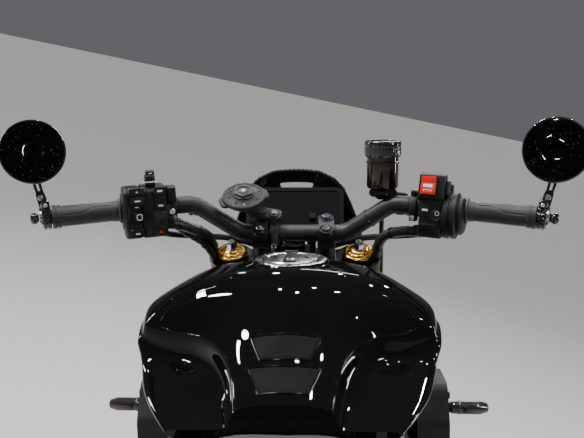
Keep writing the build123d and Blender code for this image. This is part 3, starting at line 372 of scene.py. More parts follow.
class Form:
    """Shapes gathered into one mesh, each at a place and in one of the piece's paints."""

    def __init__(self):
        self.points, self.faces, self.paints = [], [], []

    def add(self, shape, place=Matrix(), paint=0):
        base = len(self.points)
        self.points += [place @ Vector(p) for p in shape[0]]
        self.faces += [tuple(base + i for i in face) for face in shape[1]]
        self.paints += [paint] * len(shape[1])

    def turn(self, place, paint, sides, profile, wave=None):
        """A profile turned about z."""
        self.add(lathe(profile, sides, False, wave), place, paint)

    def hoop(self, place, paint, sides, profile, wave=None):
        """A closed profile turned about z: a ring."""
        self.add(lathe(profile, sides, True, wave), place, paint)

    def band(self, place, paint, sides, inner, outer, low, high):
        """A ring of rectangular section."""
        self.hoop(place, paint, sides, [(inner, low), (outer, low), (outer, high), (inner, high)])

    def disc(self, place, paint, sides, radius, low, high, cut=0.0, rise=0.0):
        """A round block, its upper edge cut back by a chamfer."""
        edge = [(radius, high - rise), (radius - cut, high)] if cut else [(radius, high)]
        self.add(lathe([(0, low), (radius, low), *edge, (0, high)], sides), place, paint)

    def plate(self, place, paint, outline, corner, steps, low, high, edge=0.8, layers=2):
        """An outline with rounded corners given thickness."""
        self.add(slab(rounded(outline, corner, True, steps), low, high, edge, layers), place, paint)

    def block(self, place, paint, size, edge=1.0, corner=2.0):
        self.add(box(size, edge, corner), place, paint)

    def pipe(self, path, radius, sides=16, paint=0, place=Matrix(), loop=False):
        self.add(tube(path, radius, sides, loop), place, paint)

    def bolts(self, spots, radius, height, paint=0, head=socket_bolt, place=Matrix()):
        """One bolt at each (point, direction)."""
        shape = head(radius, height)
        for point, direction in spots:
            up = Vector(direction)
            side = (1, 0, 0) if abs(up.normalized().x) < 0.9 else (0, 1, 0)
            self.add(shape, place @ axes(point, up, side), paint)


# Materials. Colour and roughness vary in soft patches, patch to the metre. Grain is the height in
# millimetres of the fine texture, grain scale to the metre.
SURFACES = [
    # name, colour, metallic, roughness, mottle, smudge, patch, grain, grain scale, stretch, other sockets
    ("tank_paint", (0.002, 0.002, 0.0023), 0.0, 0.2, 0.3, 0.25, 8,
     dict(Coat_Weight=1.0, Coat_Roughness=0.012, Coat_IOR=1.4, Specular_IOR_Level=0.0)),
    ("satin_black", (0.012, 0.012, 0.013), 0.0, 0.36, 0.2, 0.2, 25, 0.012, 1400),
    ("powder_black", (0.009, 0.009, 0.0095), 0.0, 0.5, 0.15, 0.1, 40, 0.02, 1600,
     dict(Specular_IOR_Level=0.5)),
    ("anodised_black", (0.014, 0.014, 0.0155), 0.7, 0.3, 0.15, 0.2, 30, 0.006, 1500),
    ("gold_anodised", (0.75, 0.42, 0.09), 1.0, 0.2, 0.12, 0.35, 60, 0.004, 1500),
    ("bright_steel", (0.72, 0.72, 0.74), 1.0, 0.16, 0.08, 0.4, 80, 0.003, 900, (1, 1, 12)),
    ("dark_steel", (0.13, 0.13, 0.135), 1.0, 0.34, 0.2, 0.25, 60, 0.006, 900),
    ("black_bolt", (0.03, 0.03, 0.032), 0.8, 0.32, 0.2, 0.2, 90, 0.004, 1200),
    ("hard_chrome", (0.62, 0.62, 0.65), 1.0, 0.07, 0.04, 0.3, 20),
    ("cast_engine", (0.045, 0.045, 0.047), 0.55, 0.48, 0.2, 0.2, 30, 0.06, 700),
    ("cast_cover", (0.13, 0.118, 0.10), 0.75, 0.38, 0.15, 0.2, 25, 0.03, 900),
    ("radiator_black", (0.012, 0.012, 0.012), 0.2, 0.55, 0.2, 0.15, 60, 0.01, 900),
    ("moulded_black", (0.010, 0.010, 0.0105), 0.0, 0.48, 0.2, 0.15, 30, 0.03, 1500,
     dict(pattern="cells", Specular_IOR_Level=0.3)),
    ("moulded_grey", (0.022, 0.022, 0.0235), 0.0, 0.5, 0.15, 0.15, 25, 0.02, 1500,
     dict(pattern="cells", Specular_IOR_Level=0.28)),
    ("dash_back", (0.007, 0.007, 0.0075), 0.0, 0.7, 0.2, 0.1, 30, 0.03, 1500,
     dict(pattern="cells", Specular_IOR_Level=0.08)),
    ("gloss_plastic", (0.006, 0.006, 0.0065), 0.0, 0.12, 0.3, 0.3, 20,
     dict(Coat_Weight=0.5, Coat_Roughness=0.03)),
    ("grip_rubber", (0.016, 0.0165, 0.018), 0.0, 0.55, 0.18, 0.15, 60, 0.02, 2200, dict(Sheen_Weight=0.15)),
    ("tyre_rubber", (0.012, 0.012, 0.0125), 0.0, 0.68, 0.25, 0.12, 25, 0.03, 1200),
    ("cable_rubber", (0.009, 0.009, 0.0095), 0.0, 0.4, 0.2, 0.2, 50, 0.015, 1600),
    ("loom_tape", (0.02, 0.02, 0.021), 0.0, 0.45, 0.25, 0.25, 80, 0.12, 260),
    ("wheel_black", (0.013, 0.013, 0.0135), 0.1, 0.3, 0.15, 0.2, 15, 0.01, 900,
     dict(Coat_Weight=0.3, Coat_Roughness=0.1)),
    ("disc_steel", (0.42, 0.42, 0.43), 1.0, 0.28, 0.12, 0.25, 40, 0.01, 1500, (1, 0.05, 0.05)),
    ("header_steel", (0.34, 0.29, 0.235), 1.0, 0.26, 0.3, 0.3, 9, 0.004, 900),
    ("silencer_metal", (0.05, 0.05, 0.052), 0.85, 0.33, 0.15, 0.2, 20, 0.008, 1200),
    ("spring_paint", (0.02, 0.02, 0.021), 0.2, 0.35, 0.15, 0.2, 40, 0.01, 900),
    ("seat_cover", (0.03, 0.03, 0.032), 0.0, 0.56, 0.15, 0.15, 30, 0.09, 620,
     dict(pattern="cells", Sheen_Weight=0.1)),
    ("seat_thread", (0.16, 0.16, 0.165), 0.0, 0.7, 0.2, 0.1, 200, 0.05, 2500),
    ("smoked_cup", (0.035, 0.028, 0.018), 0.0, 0.06, 0.2, 0.3, 20, dict(Transmission_Weight=0.85, IOR=1.5)),
    ("brake_fluid", (0.35, 0.22, 0.05), 0.0, 0.1, 0.1, 0.2, 20, dict(Transmission_Weight=0.4)),
    # mirror glass: tinted, and its near-black colour also paints in the dark reflection of a room
    ("mirror_glass", (0.022, 0.022, 0.024), 1.0, 0.035, 0.15, 0.4, 25),
    ("screen_glass", (0.004, 0.004, 0.005), 0.0, 0.08, 0.2, 0.5, 12,
     dict(Coat_Weight=1.0, Coat_Roughness=0.03)),
    ("clear_lens", (0.9, 0.92, 0.95), 0.0, 0.03, 0.02, 0.3, 10, dict(Transmission_Weight=0.96, IOR=1.49)),
    ("smoked_lens", (0.02, 0.018, 0.016), 0.0, 0.1, 0.2, 0.3, 10, dict(Coat_Weight=0.6, Coat_Roughness=0.03)),
    ("lamp_reflector", (0.8, 0.8, 0.82), 1.0, 0.09, 0.05, 0.3, 40),
    ("red_plastic", (0.62, 0.012, 0.01), 0.0, 0.3, 0.08, 0.2, 40, 0.005, 900),
    ("red_lens", (0.4, 0.006, 0.006), 0.0, 0.12, 0.1, 0.3, 30, dict(Coat_Weight=0.8, Coat_Roughness=0.05)),
    ("white_print", (0.72, 0.72, 0.7), 0.0, 0.5, 0.05, 0.1, 90),
    ("blank_plate", (0.66, 0.66, 0.64), 0.0, 0.4, 0.06, 0.15, 30, 0.01, 700),
    ("cap_silver", (0.55, 0.55, 0.56), 1.0, 0.24, 0.1, 0.25, 40, 0.006, 1200),
    ("cap_dark", (0.11, 0.11, 0.115), 0.9, 0.34, 0.15, 0.2, 40, 0.01, 1200),
    ("tank_satin", (0.006, 0.006, 0.0065), 0.0, 0.6, 0.2, 0.15, 30, 0.02, 900, dict(Specular_IOR_Level=0.06)),
]


def feed(material, node, inputs):
    """Sets a node's inputs, each to a constant or to another node's output."""
    for socket, value in inputs.items():
        if isinstance(value, bpy.types.NodeSocket):
            material.node_tree.links.new(value, node.inputs[socket])
        else:
            node.inputs[socket].default_value = value


def wired(material, kind, inputs, output=0, **settings):
    """Adds a node with its settings and inputs, and gives one of its outputs."""
    node = material.node_tree.nodes.new("ShaderNode" + kind)
    for name, value in settings.items():
        setattr(node, name, value)
    feed(material, node, inputs)
    return node.outputs[output]


def surface(name, color, metallic, roughness, mottle, smudge, patch, grain=0.0, grain_scale=0.0,
            stretch=(1, 1, 1), pattern="noise", **sockets):
    """A painted, moulded or machined surface."""
    material = bpy.data.materials.new(name)
    material.use_nodes = True
    shader = material.node_tree.nodes["Principled BSDF"]
    low = [max(0.0, c * (1 - mottle)) for c in color]
    high = [min(1.0, c * (1 + mottle) + mottle * 0.004) for c in color]
    where = wired(material, "TexCoord", {}, "Object")
    patches = wired(material, "TexNoise", {"Scale": patch, "Detail": 5, "Vector": where}, "Fac")
    mix = {"A": (*low, 1), "B": (*high, 1), "Factor": patches}
    tint = wired(material, "Mix", mix, "Result", data_type="RGBA")
    shine = {"From Min": 0.3, "From Max": 0.7, "To Min": max(0.0, roughness * (1 - smudge)),
             "To Max": min(1.0, roughness * (1 + smudge)), "Value": patches}
    gloss = wired(material, "MapRange", shine, "Result")
    feed(material, shader, {"Metallic": metallic, "Base Color": tint, "Roughness": gloss})
    feed(material, shader, {socket.replace("_", " "): value for socket, value in sockets.items()})
    if grain:
        spread = wired(material, "Mapping", {"Scale": stretch, "Vector": where}, "Vector")
        fine = {"Scale": grain_scale, "Vector": spread}
        if pattern == "noise":
            height = wired(material, "TexNoise", {"Detail": 3, **fine}, "Fac")
        else:
            height = wired(material, "TexVoronoi", fine, "Distance")
        bump = {"Distance": grain * MM, "Strength": 1.0, "Height": height}
        feed(material, shader, {"Normal": wired(material, "Bump", bump, "Normal")})
    return material


SPECK_SHARE = 0.72


def dust_and_glint_specks(material, density, size, tone):
    """Adds fine specks of one tone to a dark glossy surface: a grey tone gives dust, a white tone paints the
    specks as glints of light.
    """
    shader = material.node_tree.nodes["Principled BSDF"]
    where = wired(material, "TexCoord", {}, "Object")
    distance = wired(material, "TexVoronoi", {"Scale": density, "Vector": where}, "Distance")
    cells = distance.node
    near = wired(material, "Math", {0: distance, 1: size}, operation="LESS_THAN")
    red = wired(material, "SeparateColor", {"Color": cells.outputs["Color"]}, "Red")
    few = wired(material, "Math", {0: red, 1: SPECK_SHARE}, operation="GREATER_THAN")
    dot = wired(material, "Math", {0: near, 1: few}, operation="MULTIPLY")
    base = shader.inputs["Base Color"].links[0].from_socket
    tint = {"B": (tone, tone, tone, 1), "Factor": dot, "A": base}
    feed(material, shader, {"Base Color": wired(material, "Mix", tint, "Result", data_type="RGBA")})


PAINT = {}
for name, *values in SURFACES:
    extras = values.pop() if isinstance(values[-1], dict) else {}
    PAINT[name] = surface(name, *values, **extras)
dust_and_glint_specks(PAINT["tank_paint"], 900.0, 0.08, 0.10)
# The mirror's white specks are dust painted as bright glints: a painted highlight.
dust_and_glint_specks(PAINT["mirror_glass"], 300.0, 0.16, 1.0)

CAD_PAINTS = {
    # material: the CAD nodes that wear it
    "satin_black": "frame stand_bracket front_fender headlight side_stand",
    "cast_engine": "engine",
    "cast_cover": "engine_covers",
    "radiator_black": "radiator",
    "moulded_grey": "radiator_shrouds side_panels phone_mount",
    "header_steel": "exhaust_headers",
    "silencer_metal": "silencer",
    "anodised_black": "swingarm rear_caliper peg_hangers top_clamp lower_clamp fork_tubes front_calipers",
    "dark_steel": "rear_axle chain footpegs foot_levers front_axle rear_sprocket",
    "spring_paint": "rear_shock",
    "tank_paint": "fuel_tank tail_cowl",
    "seat_cover": "seat",
    "red_lens": "tail_light",
    "moulded_black": "plate_holder switch_left switch_right",
    "smoked_lens": "turn_signals",
    "hard_chrome": "fork_sliders",
    "gold_anodised": "fork_caps",
    "powder_black": "handlebar bar_risers hand_levers",
    "gloss_plastic": "bar_end_caps mirrors flyscreen",
    "grip_rubber": "grips",
    "smoked_cup": "brake_reservoir",
    "dash_back": "dash",
    "clear_lens": "headlight_lens",
    "cable_rubber": "brake_hoses control_cables",
    "tyre_rubber": "front_tyre rear_tyre",
    "wheel_black": "front_wheel rear_wheel",
    "disc_steel": "front_discs rear_disc",
    "cap_silver": "filler_lid",
}
for name, nodes in CAD_PAINTS.items():
    for node in nodes.split():
        NODES[node].data.materials.clear()
        NODES[node].data.materials.append(PAINT[name])


def make(name, form, body, paints, replaces=(), crease=35, place=Matrix()):
    """The finished piece: placed on the parked machine, smooth up to its creases, riding on its body."""
    mesh = bpy.data.meshes.new(name)
    to_world = PARKED @ place
    mesh.from_pydata([to_world @ p for p in form.points], [], form.faces)
    mesh.polygons.foreach_set("material_index", form.paints)
    work = bmesh.new()
    work.from_mesh(mesh)
    bmesh.ops.remove_doubles(work, verts=work.verts, dist=1e-6)
    bmesh.ops.recalc_face_normals(work, faces=work.faces)
    work.to_mesh(mesh)
    work.free()
    piece = bpy.data.objects.new(name, mesh)
    bpy.context.scene.collection.objects.link(piece)
    for paint in paints.split():
        mesh.materials.append(PAINT[paint])
    mesh.polygons.foreach_set("use_smooth", [True] * len(mesh.polygons))
    mesh.set_sharp_from_angle(angle=radians(crease))
    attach(piece, body)
    if replaces:
        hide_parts(*replaces)
    return piece


# Camera: where the photograph's eye stood, above and behind the saddle, on the leaning machine
EYE = Vector((58, -942, 1246))
EYE_DOWN, EYE_LEFT = radians(9), radians(2.65)
look = Vector((-sin(EYE_LEFT) * cos(EYE_DOWN), cos(EYE_LEFT) * cos(EYE_DOWN), -sin(EYE_DOWN)))
camera = bpy.data.objects.new("camera", bpy.data.cameras.new("camera"))
bpy.context.scene.collection.objects.link(camera)
camera.data.lens = 50
camera.data.sensor_width = 36
camera.data.clip_start = 0.05
eye_frame = PARKED @ axes(EYE, -look)
eye_turn = eye_frame.to_quaternion().to_matrix().to_4x4()
camera.matrix_world = Matrix.Translation(eye_frame.translation) @ eye_turn
bpy.context.scene.camera = camera


# Fuel tank: one row for each section from nose to seat
TANK = [
    # y, bottom z and half, then half and z of the widest line, the knee hollow, its crease and the shoulder,
    # and the crown's z
    (372, 858, 46, 98, 903, 97, 921, 86, 936, 60, 956, 968),
    (350, 850, 60, 118, 900, 115, 924, 102, 944, 72, 964, 976),
    (318, 830, 96, 152, 896, 149, 926, 134, 950, 94, 973, 985),
    (262, 806, 132, 196, 896, 192, 927, 174, 950, 114, 981, 992),
    (205, 796, 150, 215, 888, 213, 917, 197, 940, 120, 978, 992),
    (172, 792, 152, 213, 878, 210, 900, 193, 925, 108, 960, 976),
    (160, 791, 151, 210, 868, 178, 884, 161, 909, 96, 950, 967),
    (150, 790, 150, 207, 862, 142, 874, 125, 907, 82, 943, 958),
    (110, 790, 142, 196, 846, 104, 862, 87, 896, 56, 913, 920),
    (66, 792, 128, 176, 834, 86, 842, 69, 873, 45, 883, 886),
    (20, 796, 108, 150, 822, 78, 826, 62, 848, 40, 856, 858),
]
TANK_KEYS = [row[0] for row in TANK]


def between_rows(y):
    """The tank's section values at any y, by a smooth curve through the rows."""
    last = len(TANK) - 1
    y = min(max(y, TANK_KEYS[-1]), TANK_KEYS[0])
    i = next(k for k in range(last) if TANK_KEYS[k + 1] <= y)
    step = TANK_KEYS[i + 1] - TANK_KEYS[i]
    t = (y - TANK_KEYS[i]) / step
    out = []
    for column in range(1, len(TANK[0])):
        values = [row[column] for row in TANK]
        rise = [(values[k + 1] - values[k]) / (TANK_KEYS[k + 1] - TANK_KEYS[k]) for k in range(last)]

        def slope(k):
            if k in (0, last):
                return rise[min(k, last - 1)]
            if rise[k - 1] * rise[k] <= 0:
                return 0.0
            return 2 * rise[k - 1] * rise[k] / (rise[k - 1] + rise[k])

        out.append(
            values[i] * (2 * t**3 - 3 * t**2 + 1)
            + slope(i) * step * (t**3 - 2 * t**2 + t)
            + values[i + 1] * (3 * t**2 - 2 * t**3)
            + slope(i + 1) * step * (t**3 - t**2)
        )
    return out


def tank_half(y, count=14):
    """Half a section as (x, z) from the crown round to the bottom edge."""
    bottom_z, bottom, wide, wide_z, hollow, hollow_z, mid, mid_z, *top = between_rows(y)
    shoulder, shoulder_z, crown = top
    keys = [(-shoulder, shoulder_z), (0, crown), (shoulder, shoulder_z), (mid, mid_z), (hollow, hollow_z),
            (wide, wide_z), (bottom, bottom_z), (bottom - 30, bottom_z - 40)]
    keys = [Vector(key) for key in keys]
    out = []
    for i in range(1, 6):
        before, a, b, after = keys[i - 1 : i + 3]
        bend, twist = before * 2 - a * 5 + b * 4 - after, a * 3 - before - b * 3 + after
        for k in range(count):
            t = k / count
            out.append(a + ((b - before) * t + bend * t**2 + twist * t**3) / 2)
    return [*out, keys[6]]


def tank_height(x, y):
    """Height of the tank's upper skin above a point near its middle line."""
    half = tank_half(y, 24)
    for a, b in zip(half, half[1:]):
        if a.x <= abs(x) <= b.x:
            return a.y + (b.y - a.y) * (abs(x) - a.x) / max(b.x - a.x, 1e-6)
    return half[0].y


TANK_NOSE_N = -71.0
TANK_SECTIONS = 120


def behind_steering(point):
    """Pulls a point straight back to the flat nose, which stands behind the steering axis."""
    point = Vector(point)
    ahead = (STEER.inverted() @ point).y - TANK_NOSE_N
    return point - Vector((0, max(0.0, ahead) / STEER_FORWARD.y, 0))


def tank_skin():
    first, last = TANK_KEYS[0], TANK_KEYS[-1]
    sections = []
    for k in range(TANK_SECTIONS + 1):
        y = first + (last - first) * k / TANK_SECTIONS
        right = tank_half(y)
        ring = [(-p.x, y, p.y) for p in reversed(right[1:])] + [(p.x, y, p.y) for p in right]
        sections.append([behind_steering(p) for p in ring])
    return rings(sections)


PAD_DEPTH = 1.6


def tank_pad(front_half, rear_half, front_y, rear_y):
    """A trapezoid inlay on the tank's spine: sunk rim, flat middle, following the skin."""

    def place(u, v):
        y = front_y + (rear_y - front_y) * v
        half = front_half + (rear_half - front_half) * v
        x = (2 * u - 1) * half
        edge = min(half - abs(x), v * (front_y - rear_y), (1 - v) * (front_y - rear_y))
        return x, y, tank_height(x, y) + PAD_DEPTH * min(1.0, edge / 2.2) - 0.6

    return sheet_grid(place, 40, 24)


tank = Form()
tank.add(tank_skin())
make("tank_shell", tank, "chassis", "tank_paint", ["fuel_tank"], crease=50)

collar = Form()
skirt = [(FILLER_R + 6, -16), (FILLER_R + 4, 0), (FILLER_R + 1, 3.2), (FILLER_R - 0.6, 3.4)]
collar.turn(at(*FILLER), 2, 96, skirt)
seat_ring = [(FILLER_R - 0.4, 1.0), (FILLER_R - 0.6, 3.6), (FILLER_R - 2, 4.2), (LID_R + 5, 4.2),
             (LID_R + 3.4, 3.4), (LID_R + 2.4, 1.2), (LID_R + 2.2, -6), (0, -6)]
collar.turn(at(*FILLER), 0, 96, seat_ring)
ring_spots = [turned(a) @ Vector((FILLER_R - 6, 0, 4)) for a in (35, 90, 145, 215, 270, 325)]
collar.bolts([(FILLER + spot, UP) for spot in ring_spots], 3.4, 1.6, 1)
make("filler_ring", collar, "chassis", "cap_silver black_bolt tank_paint")

# Tank trim: two framed pads on the spine, a crease over each shoulder and one round each knee hollow
tank_trim = Form()
for pad in ((48.5, 34, 112, 81), (48.5, 33, 72.5, 35.5)):
    tank_trim.add(tank_pad(*pad))
    front_half, rear_half, front_y, rear_y = pad
    corners = [(-rear_half, rear_y), (rear_half, rear_y), (front_half, front_y), (-front_half, front_y)]
    edge = [(p.x, p.y, tank_height(p.x, p.y) + 0.5) for p in dense(rounded(corners, 2.5, True, 5), 3)]
    tank_trim.pipe(edge, 1.0, 10, 1, loop=True)
SHOULDER_CREASE = [(44, 276), (64, 230), (81, 189), (105, 182), (136, 181), (165, 174), (184, 167)]
KNEE_TOP, KNEE_END, KNEE_STEP = 166, 20, -4
for side in (-1, 1):
    flat_line = spline_points([(side * x, y, 0) for x, y in SHOULDER_CREASE])
    tank_trim.pipe([(p.x, p.y, tank_height(p.x, p.y) - 0.5) for p in flat_line], 1.3, 10, 1)
    knee = [(y, between_rows(y)) for y in range(KNEE_TOP, KNEE_END, KNEE_STEP)]
    tank_trim.pipe([(side * (row[6] - 0.5), y, row[7] - 0.6) for y, row in knee], 1.5, 10, 1)
make("tank_trim", tank_trim, "chassis", "tank_satin tank_paint", crease=50)

# Grips: a slight barrel with long bent grooves, a diamond band at the inner end and two end rings
GRIP_START, GRIP_END = 117.5, 222.0
GROOVES, GROOVE_DEPTH, GROOVE_HALF = 6, 0.85, 0.75
BAND_END = 131.0
GRIP_SIDES = 168
GRIP_RADII = [(GRIP_START, 19.5), (120, 19.8), (121.5, 16.6), (BAND_END, 15.6), (160, 15.9), (205, 16.5),
              (209, 16.6), (209.6, 18.4), (213.4, 18.4), (214, 17.2), (215.6, 17.2), (216.2, 18.6),
              (GRIP_END, 18.6)]


def between(table, t):
    """A value read off a table of (position, value) pairs by straight lines."""
    for (a, low), (b, high) in zip(table, table[1:]):
        if t <= b:
            return low + (high - low) * max(0.0, t - a) / max(b - a, 1e-9)
    return table[-1][1]


def grip_radius(angle, reach):
    r = between(GRIP_RADII, reach)
    if 122.5 < reach < BAND_END:
        return r + 0.5 * abs(sin(14 * angle + 1.1 * reach)) * abs(sin(14 * angle - 1.1 * reach))
    if not BAND_END + 2 < reach < 207:
        return r
    share = (reach - BAND_END) / (205 - BAND_END)
    bend = radians(17) * sin(pi * min(1, max(0, (share - 0.3) / 0.4)) - pi / 2)
    step = 2 * pi / GROOVES
    off = (angle - bend + step / 2) % step - step / 2
    fade = min(1.0, (reach - BAND_END - 2) / 3, (207 - reach) / 2)
    return r - fade * GROOVE_DEPTH * max(0.0, 1 - abs(off) * r / GROOVE_HALF / 1.6)


grips = Form()
stations = {*[p[0] for p in GRIP_RADII], *[BAND_END - 8.5 + 0.5 * i for i in range(18)], *range(133, 209, 2)}
sections = []
for reach in sorted(stations):
    turns = [2 * pi * i / GRIP_SIDES for i in range(GRIP_SIDES)]
    sections.append([(grip_radius(a, reach) * cos(a), grip_radius(a, reach) * sin(a), reach) for a in turns])
for side in (-1, 1):
    grips.add(rings(sections), bar_frame(side))
make("grips_moulded", grips, "steering", "grip_rubber", ["grips"], crease=50)

# Bar end mirrors on forked arms, and the ribbed collars that clamp them
MIRROR = Vector((397, 285, 1155))
MIRROR_NORMAL = Vector((-0.30, -0.92, 0.24))
ARM_FOOT, ARM_TOP = Vector((380, 281, 1064)), Vector((393.5, 285, 1108))
BOWL = [(0, -13), (12, -12.8), (24, -11.6), (34, -9), (42, -5), (47.5, -0.5), (49.6, 2.5), (50, 5), (49.8, 7),
        (48.6, 8.2), (47.2, 7.8), (46.6, 5.2), (40, 4.8), (0, 4.6)]
GLASS = [(46.5, 5.3), (46.4, 6.0), (40, 6.6), (25, 7.4), (0, 7.9), (0, 5.0)]
ARM_SCREW = [(0, 3.2), (4.6, 3.2), (4.6, 5.4), (3.9, 6.2), (2.5, 6.2), (2.4, 4.2), (0, 4.0)]
KNUCKLE = [(-7, -7.5), (24, -7), (33, -5.6), (33, 5.6), (24, 7), (-7, 7.5)]
COLLAR = [(GRIP_BAR_R, 223.5), (17.2, 223.5), (18.2, 224.5), (18.2, 229), (17.6, 229.4), (17.6, 230.6),
          (18.2, 231), (18.2, 235), (16.8, 236), (GRIP_BAR_R, 236)]
mirrors, collars = Form(), Form()
for side in (-1, 1):
    face = sided(side) @ axes(MIRROR, MIRROR_NORMAL)
    mirrors.turn(face, 0, 96, BOWL)
    mirrors.turn(face, 1, 96, GLASS)
    mirrors.hoop(face, 2, 96, [(49.4, 1.2), (49.95, 1.5), (49.95, 2.6), (49.4, 2.9)])
    arm = sided(side) @ axes(ARM_FOOT, (-0.16, -0.96, 0.12), ARM_TOP - ARM_FOOT)
    mirrors.plate(arm, 0, KNUCKLE, 4, 4, -5, 3.5, 1.2, 3)
    for edge in (-1, 1):
        prong = [(27, 1.5 * edge), (58, 2.4 * edge), (58, 6.6 * edge), (27, 5.6 * edge)]
        mirrors.plate(arm, 0, prong, 1.2, 3, -4, 2.2)
    mirrors.plate(arm, 0, [(52, -8.5), (66, -7), (66, 7), (52, 8.5)], 4, 4, -5, 1.5, 1)
    for reach in (9.5, 22):
        mirrors.turn(arm @ at(reach, 0, 0), 2, 24, ARM_SCREW)
    mirrors.plate(arm, 0, [(-14, -6), (-2, -6), (-2, 6), (-14, 6)], 2, 6, -6, 2, 1)
    bar = bar_frame(side)
    collars.turn(bar, 0, 112, COLLAR, notched(14, 0.9, 17.8, 0.55))
    collars.block(bar @ at(20.5, 3, 229.8), 0, (13, 14, 11.5), 1.5, 3)
    collars.bolts([((20.5, 10.2, 230), (0, 1, 0))], 3.2, 2.6, 1, place=bar)
MIRROR_PAINTS = "gloss_plastic mirror_glass bright_steel"
make("mirrors_finished", mirrors, "steering", MIRROR_PAINTS, ["mirrors"], crease=40)
make("mirror_clamps", collars, "steering", "gloss_plastic bright_steel")

# Bar ends: a bright flange, a thin neck and a dark ball
bar_ends = Form()
FLANGE = [(0, 236.2), (14.6, 236.2), (14.9, 237), (14.9, 240.4), (13.6, 241.4), (0, 241.4)]
BALL = [(7.0, 244.5), (7.0, 244.5), (8.6, 246.5), (9.2, 249), (8.4, 252), (6.0, 254.2), (2.8, 255), (0, 255)]
for side in (-1, 1):
    bar_ends.turn(bar_frame(side), 1, 80, FLANGE, notched(5, 1.1, 13, 0.7))
    bar_ends.turn(bar_frame(side), 0, 32, [(0, 241), (8.4, 241), (6.6, 243), (6.6, 245)])
    bar_ends.turn(bar_frame(side), 0, 40, BALL)
make("bar_ends", bar_ends, "steering", "gloss_plastic bright_steel", ["bar_end_caps"])


# Switch housings. Local frame of the bar: x up, y to the rear, z outwards.
def face_frame(up, reach, rear=31.0, lean=0.0):
    """On a housing's rear face: x outwards along the bar, y up, z out of the face."""
    return axes((up, rear, reach), (sin(radians(lean)), cos(radians(lean)), 0), (0, 0, 1))


def button(form, spot, size, paint=0, rear=31.0, lean=0.0, corner=2.0, mark=None):
    """A key (tall, wide, height) on a housing's face, with an optional mark (tall, wide, paint) on top."""
    place = face_frame(*spot, rear, lean)
    tall, wide, height = size
    form.block(place @ at(0, 0, height / 2 - 0.2), paint, (wide, tall, height), 0.8, corner)
    if mark:
        form.block(place @ at(0, 0, height - 0.1), mark[2], (mark[1], mark[0], 0.5), 0.1, 0.5)


BLACK, GREY, WHITE, RED, STEEL = range(5)
LEFT_OUTLINE = [(-45, -18), (-34, -32), (20, -33), (37, -22), (38, 20), (30, 30), (-30, 31), (-45, 20)]
LEFT_END = [(GRIP_BAR_R, 104), (31, 104), (31.5, 112), (28, 116.4), (20, 116.9), (GRIP_BAR_R, 116.9)]
LEFT_RING = [(GRIP_BAR_R + 1.5, 34), (21, 34), (21.8, 35), (21.8, 45), (21, 46), (GRIP_BAR_R + 1.5, 46)]
left = Form()
left.plate(Matrix(), BLACK, LEFT_OUTLINE, 7, 5, 48.0, 86, 2.0, 3)
left.plate(Matrix(), BLACK, [(x * 0.985, y * 1.03) for x, y in LEFT_OUTLINE], 8, 5, 86.6, 114.0, 5.0, 5)
left.turn(at(-2, 0, 0), BLACK, 72, LEFT_END)
left.hoop(at(-3, 0, 0), BLACK, 72, [(33.5, 104.5), (34.6, 105.5), (34.6, 107), (33.5, 108)])
for place, size, edge, corner, paint in (
    ((46, 14, 70), (17, 22, 15), 1.5, 2.5, BLACK),
    ((56, 13, 69), (10, 16, 13), 1.2, 2, BLACK),
    ((44, 25.4, 72), (1.4, 2.2, 22), 0.3, 0.6, WHITE),
    ((57, 21.4, 69), (1.2, 1.2, 5), 0.2, 0.3, WHITE),
    ((22, 16, 39), (26, 24, 14), 1.5, 3, BLACK),
    ((24, 28, 39), (20, 10, 10), 1.5, 3, BLACK),
    ((-4, 27, 47), (22, 9, 5), 0.8, 1.2, GREY),
    ((-24, 12, 42), (20, 16, 12), 1.5, 3, BLACK),
):
    left.block(at(*place), paint, size, edge, corner)
for ring, spot, rear, paint in (
    ((31, 32, 1.4, 1.4), (24, 93), 31.6, BLACK),
    ((30, 20, 1.4, 1.6), (-8, 94), 31.6, BLACK),
    ((9, 10, 1.2, 0.5, 3), (-8, 92), 37.3, WHITE),
    ((15, 9, 0.9, 0.4, 3), (18, 58), 33.6, GREY),
    ((9, 18, 1.0, 1.0, 2), (24, 39), 33, BLACK),
):
    left.add(frame_ring(*ring), face_frame(*spot, rear), paint)
button(left, (31, 93), (11, 24, 3.2), rear=31.6, mark=(2.0, 3.5, WHITE))
button(left, (17, 93), (13, 24, 3.6), rear=31.6, mark=(2.4, 9.0, WHITE))
button(left, (7.5, 95), (4, 8, 1.2), rear=31.6, mark=(1.8, 5.5, WHITE))
button(left, (-8, 94), (13, 12, 6.0), rear=31.6)
button(left, (-33, 96), (15, 26, 4.0), BLACK, 28.5, -24, 6, mark=(3.0, 7.0, WHITE))
button(left, (30, 58), (13, 18, 4.5), mark=(3.0, 8.0, WHITE))
button(left, (18, 58), (8, 14, 3.0), corner=3.5)
button(left, (7, 58), (9, 16, 4.0), mark=(2.6, 7.0, WHITE))
button(left, (-9, 59), (15, 20, 2.4), GREY, corner=1.5)
hazard = face_frame(-33, 60, 28.5, -24)
left.turn(hazard, BLACK, 40, [(0, 0), (9.0, 0), (9.0, 2.6), (8.0, 3.4), (7.2, 3.0), (7.0, 1.6), (0, 1.5)])
left.turn(hazard, BLACK, 40, [(0, 1.4), (6.4, 1.4), (6.4, 3.2), (5.6, 3.9), (0, 4.1)])
left.plate(hazard, RED, [(0, 4.4), (-4.2, -3.0), (4.2, -3.0)], 0.8, 2, 4.0, 4.6, 0.2)
left.bolts([((-4, 31.5, 40), (0, 1, 0))], 4.6, 3.2, STEEL)
left.bolts([((-22, 29, 43), (0, 1, 0))], 3.6, 2.6, BLACK)
left.turn(Matrix(), BLACK, 56, LEFT_RING)
LEFT_PAINTS = "moulded_black moulded_grey white_print red_plastic bright_steel"
make("switch_left_finished", left, "steering", LEFT_PAINTS, ["switch_left"],
     place=bar_frame(-1))

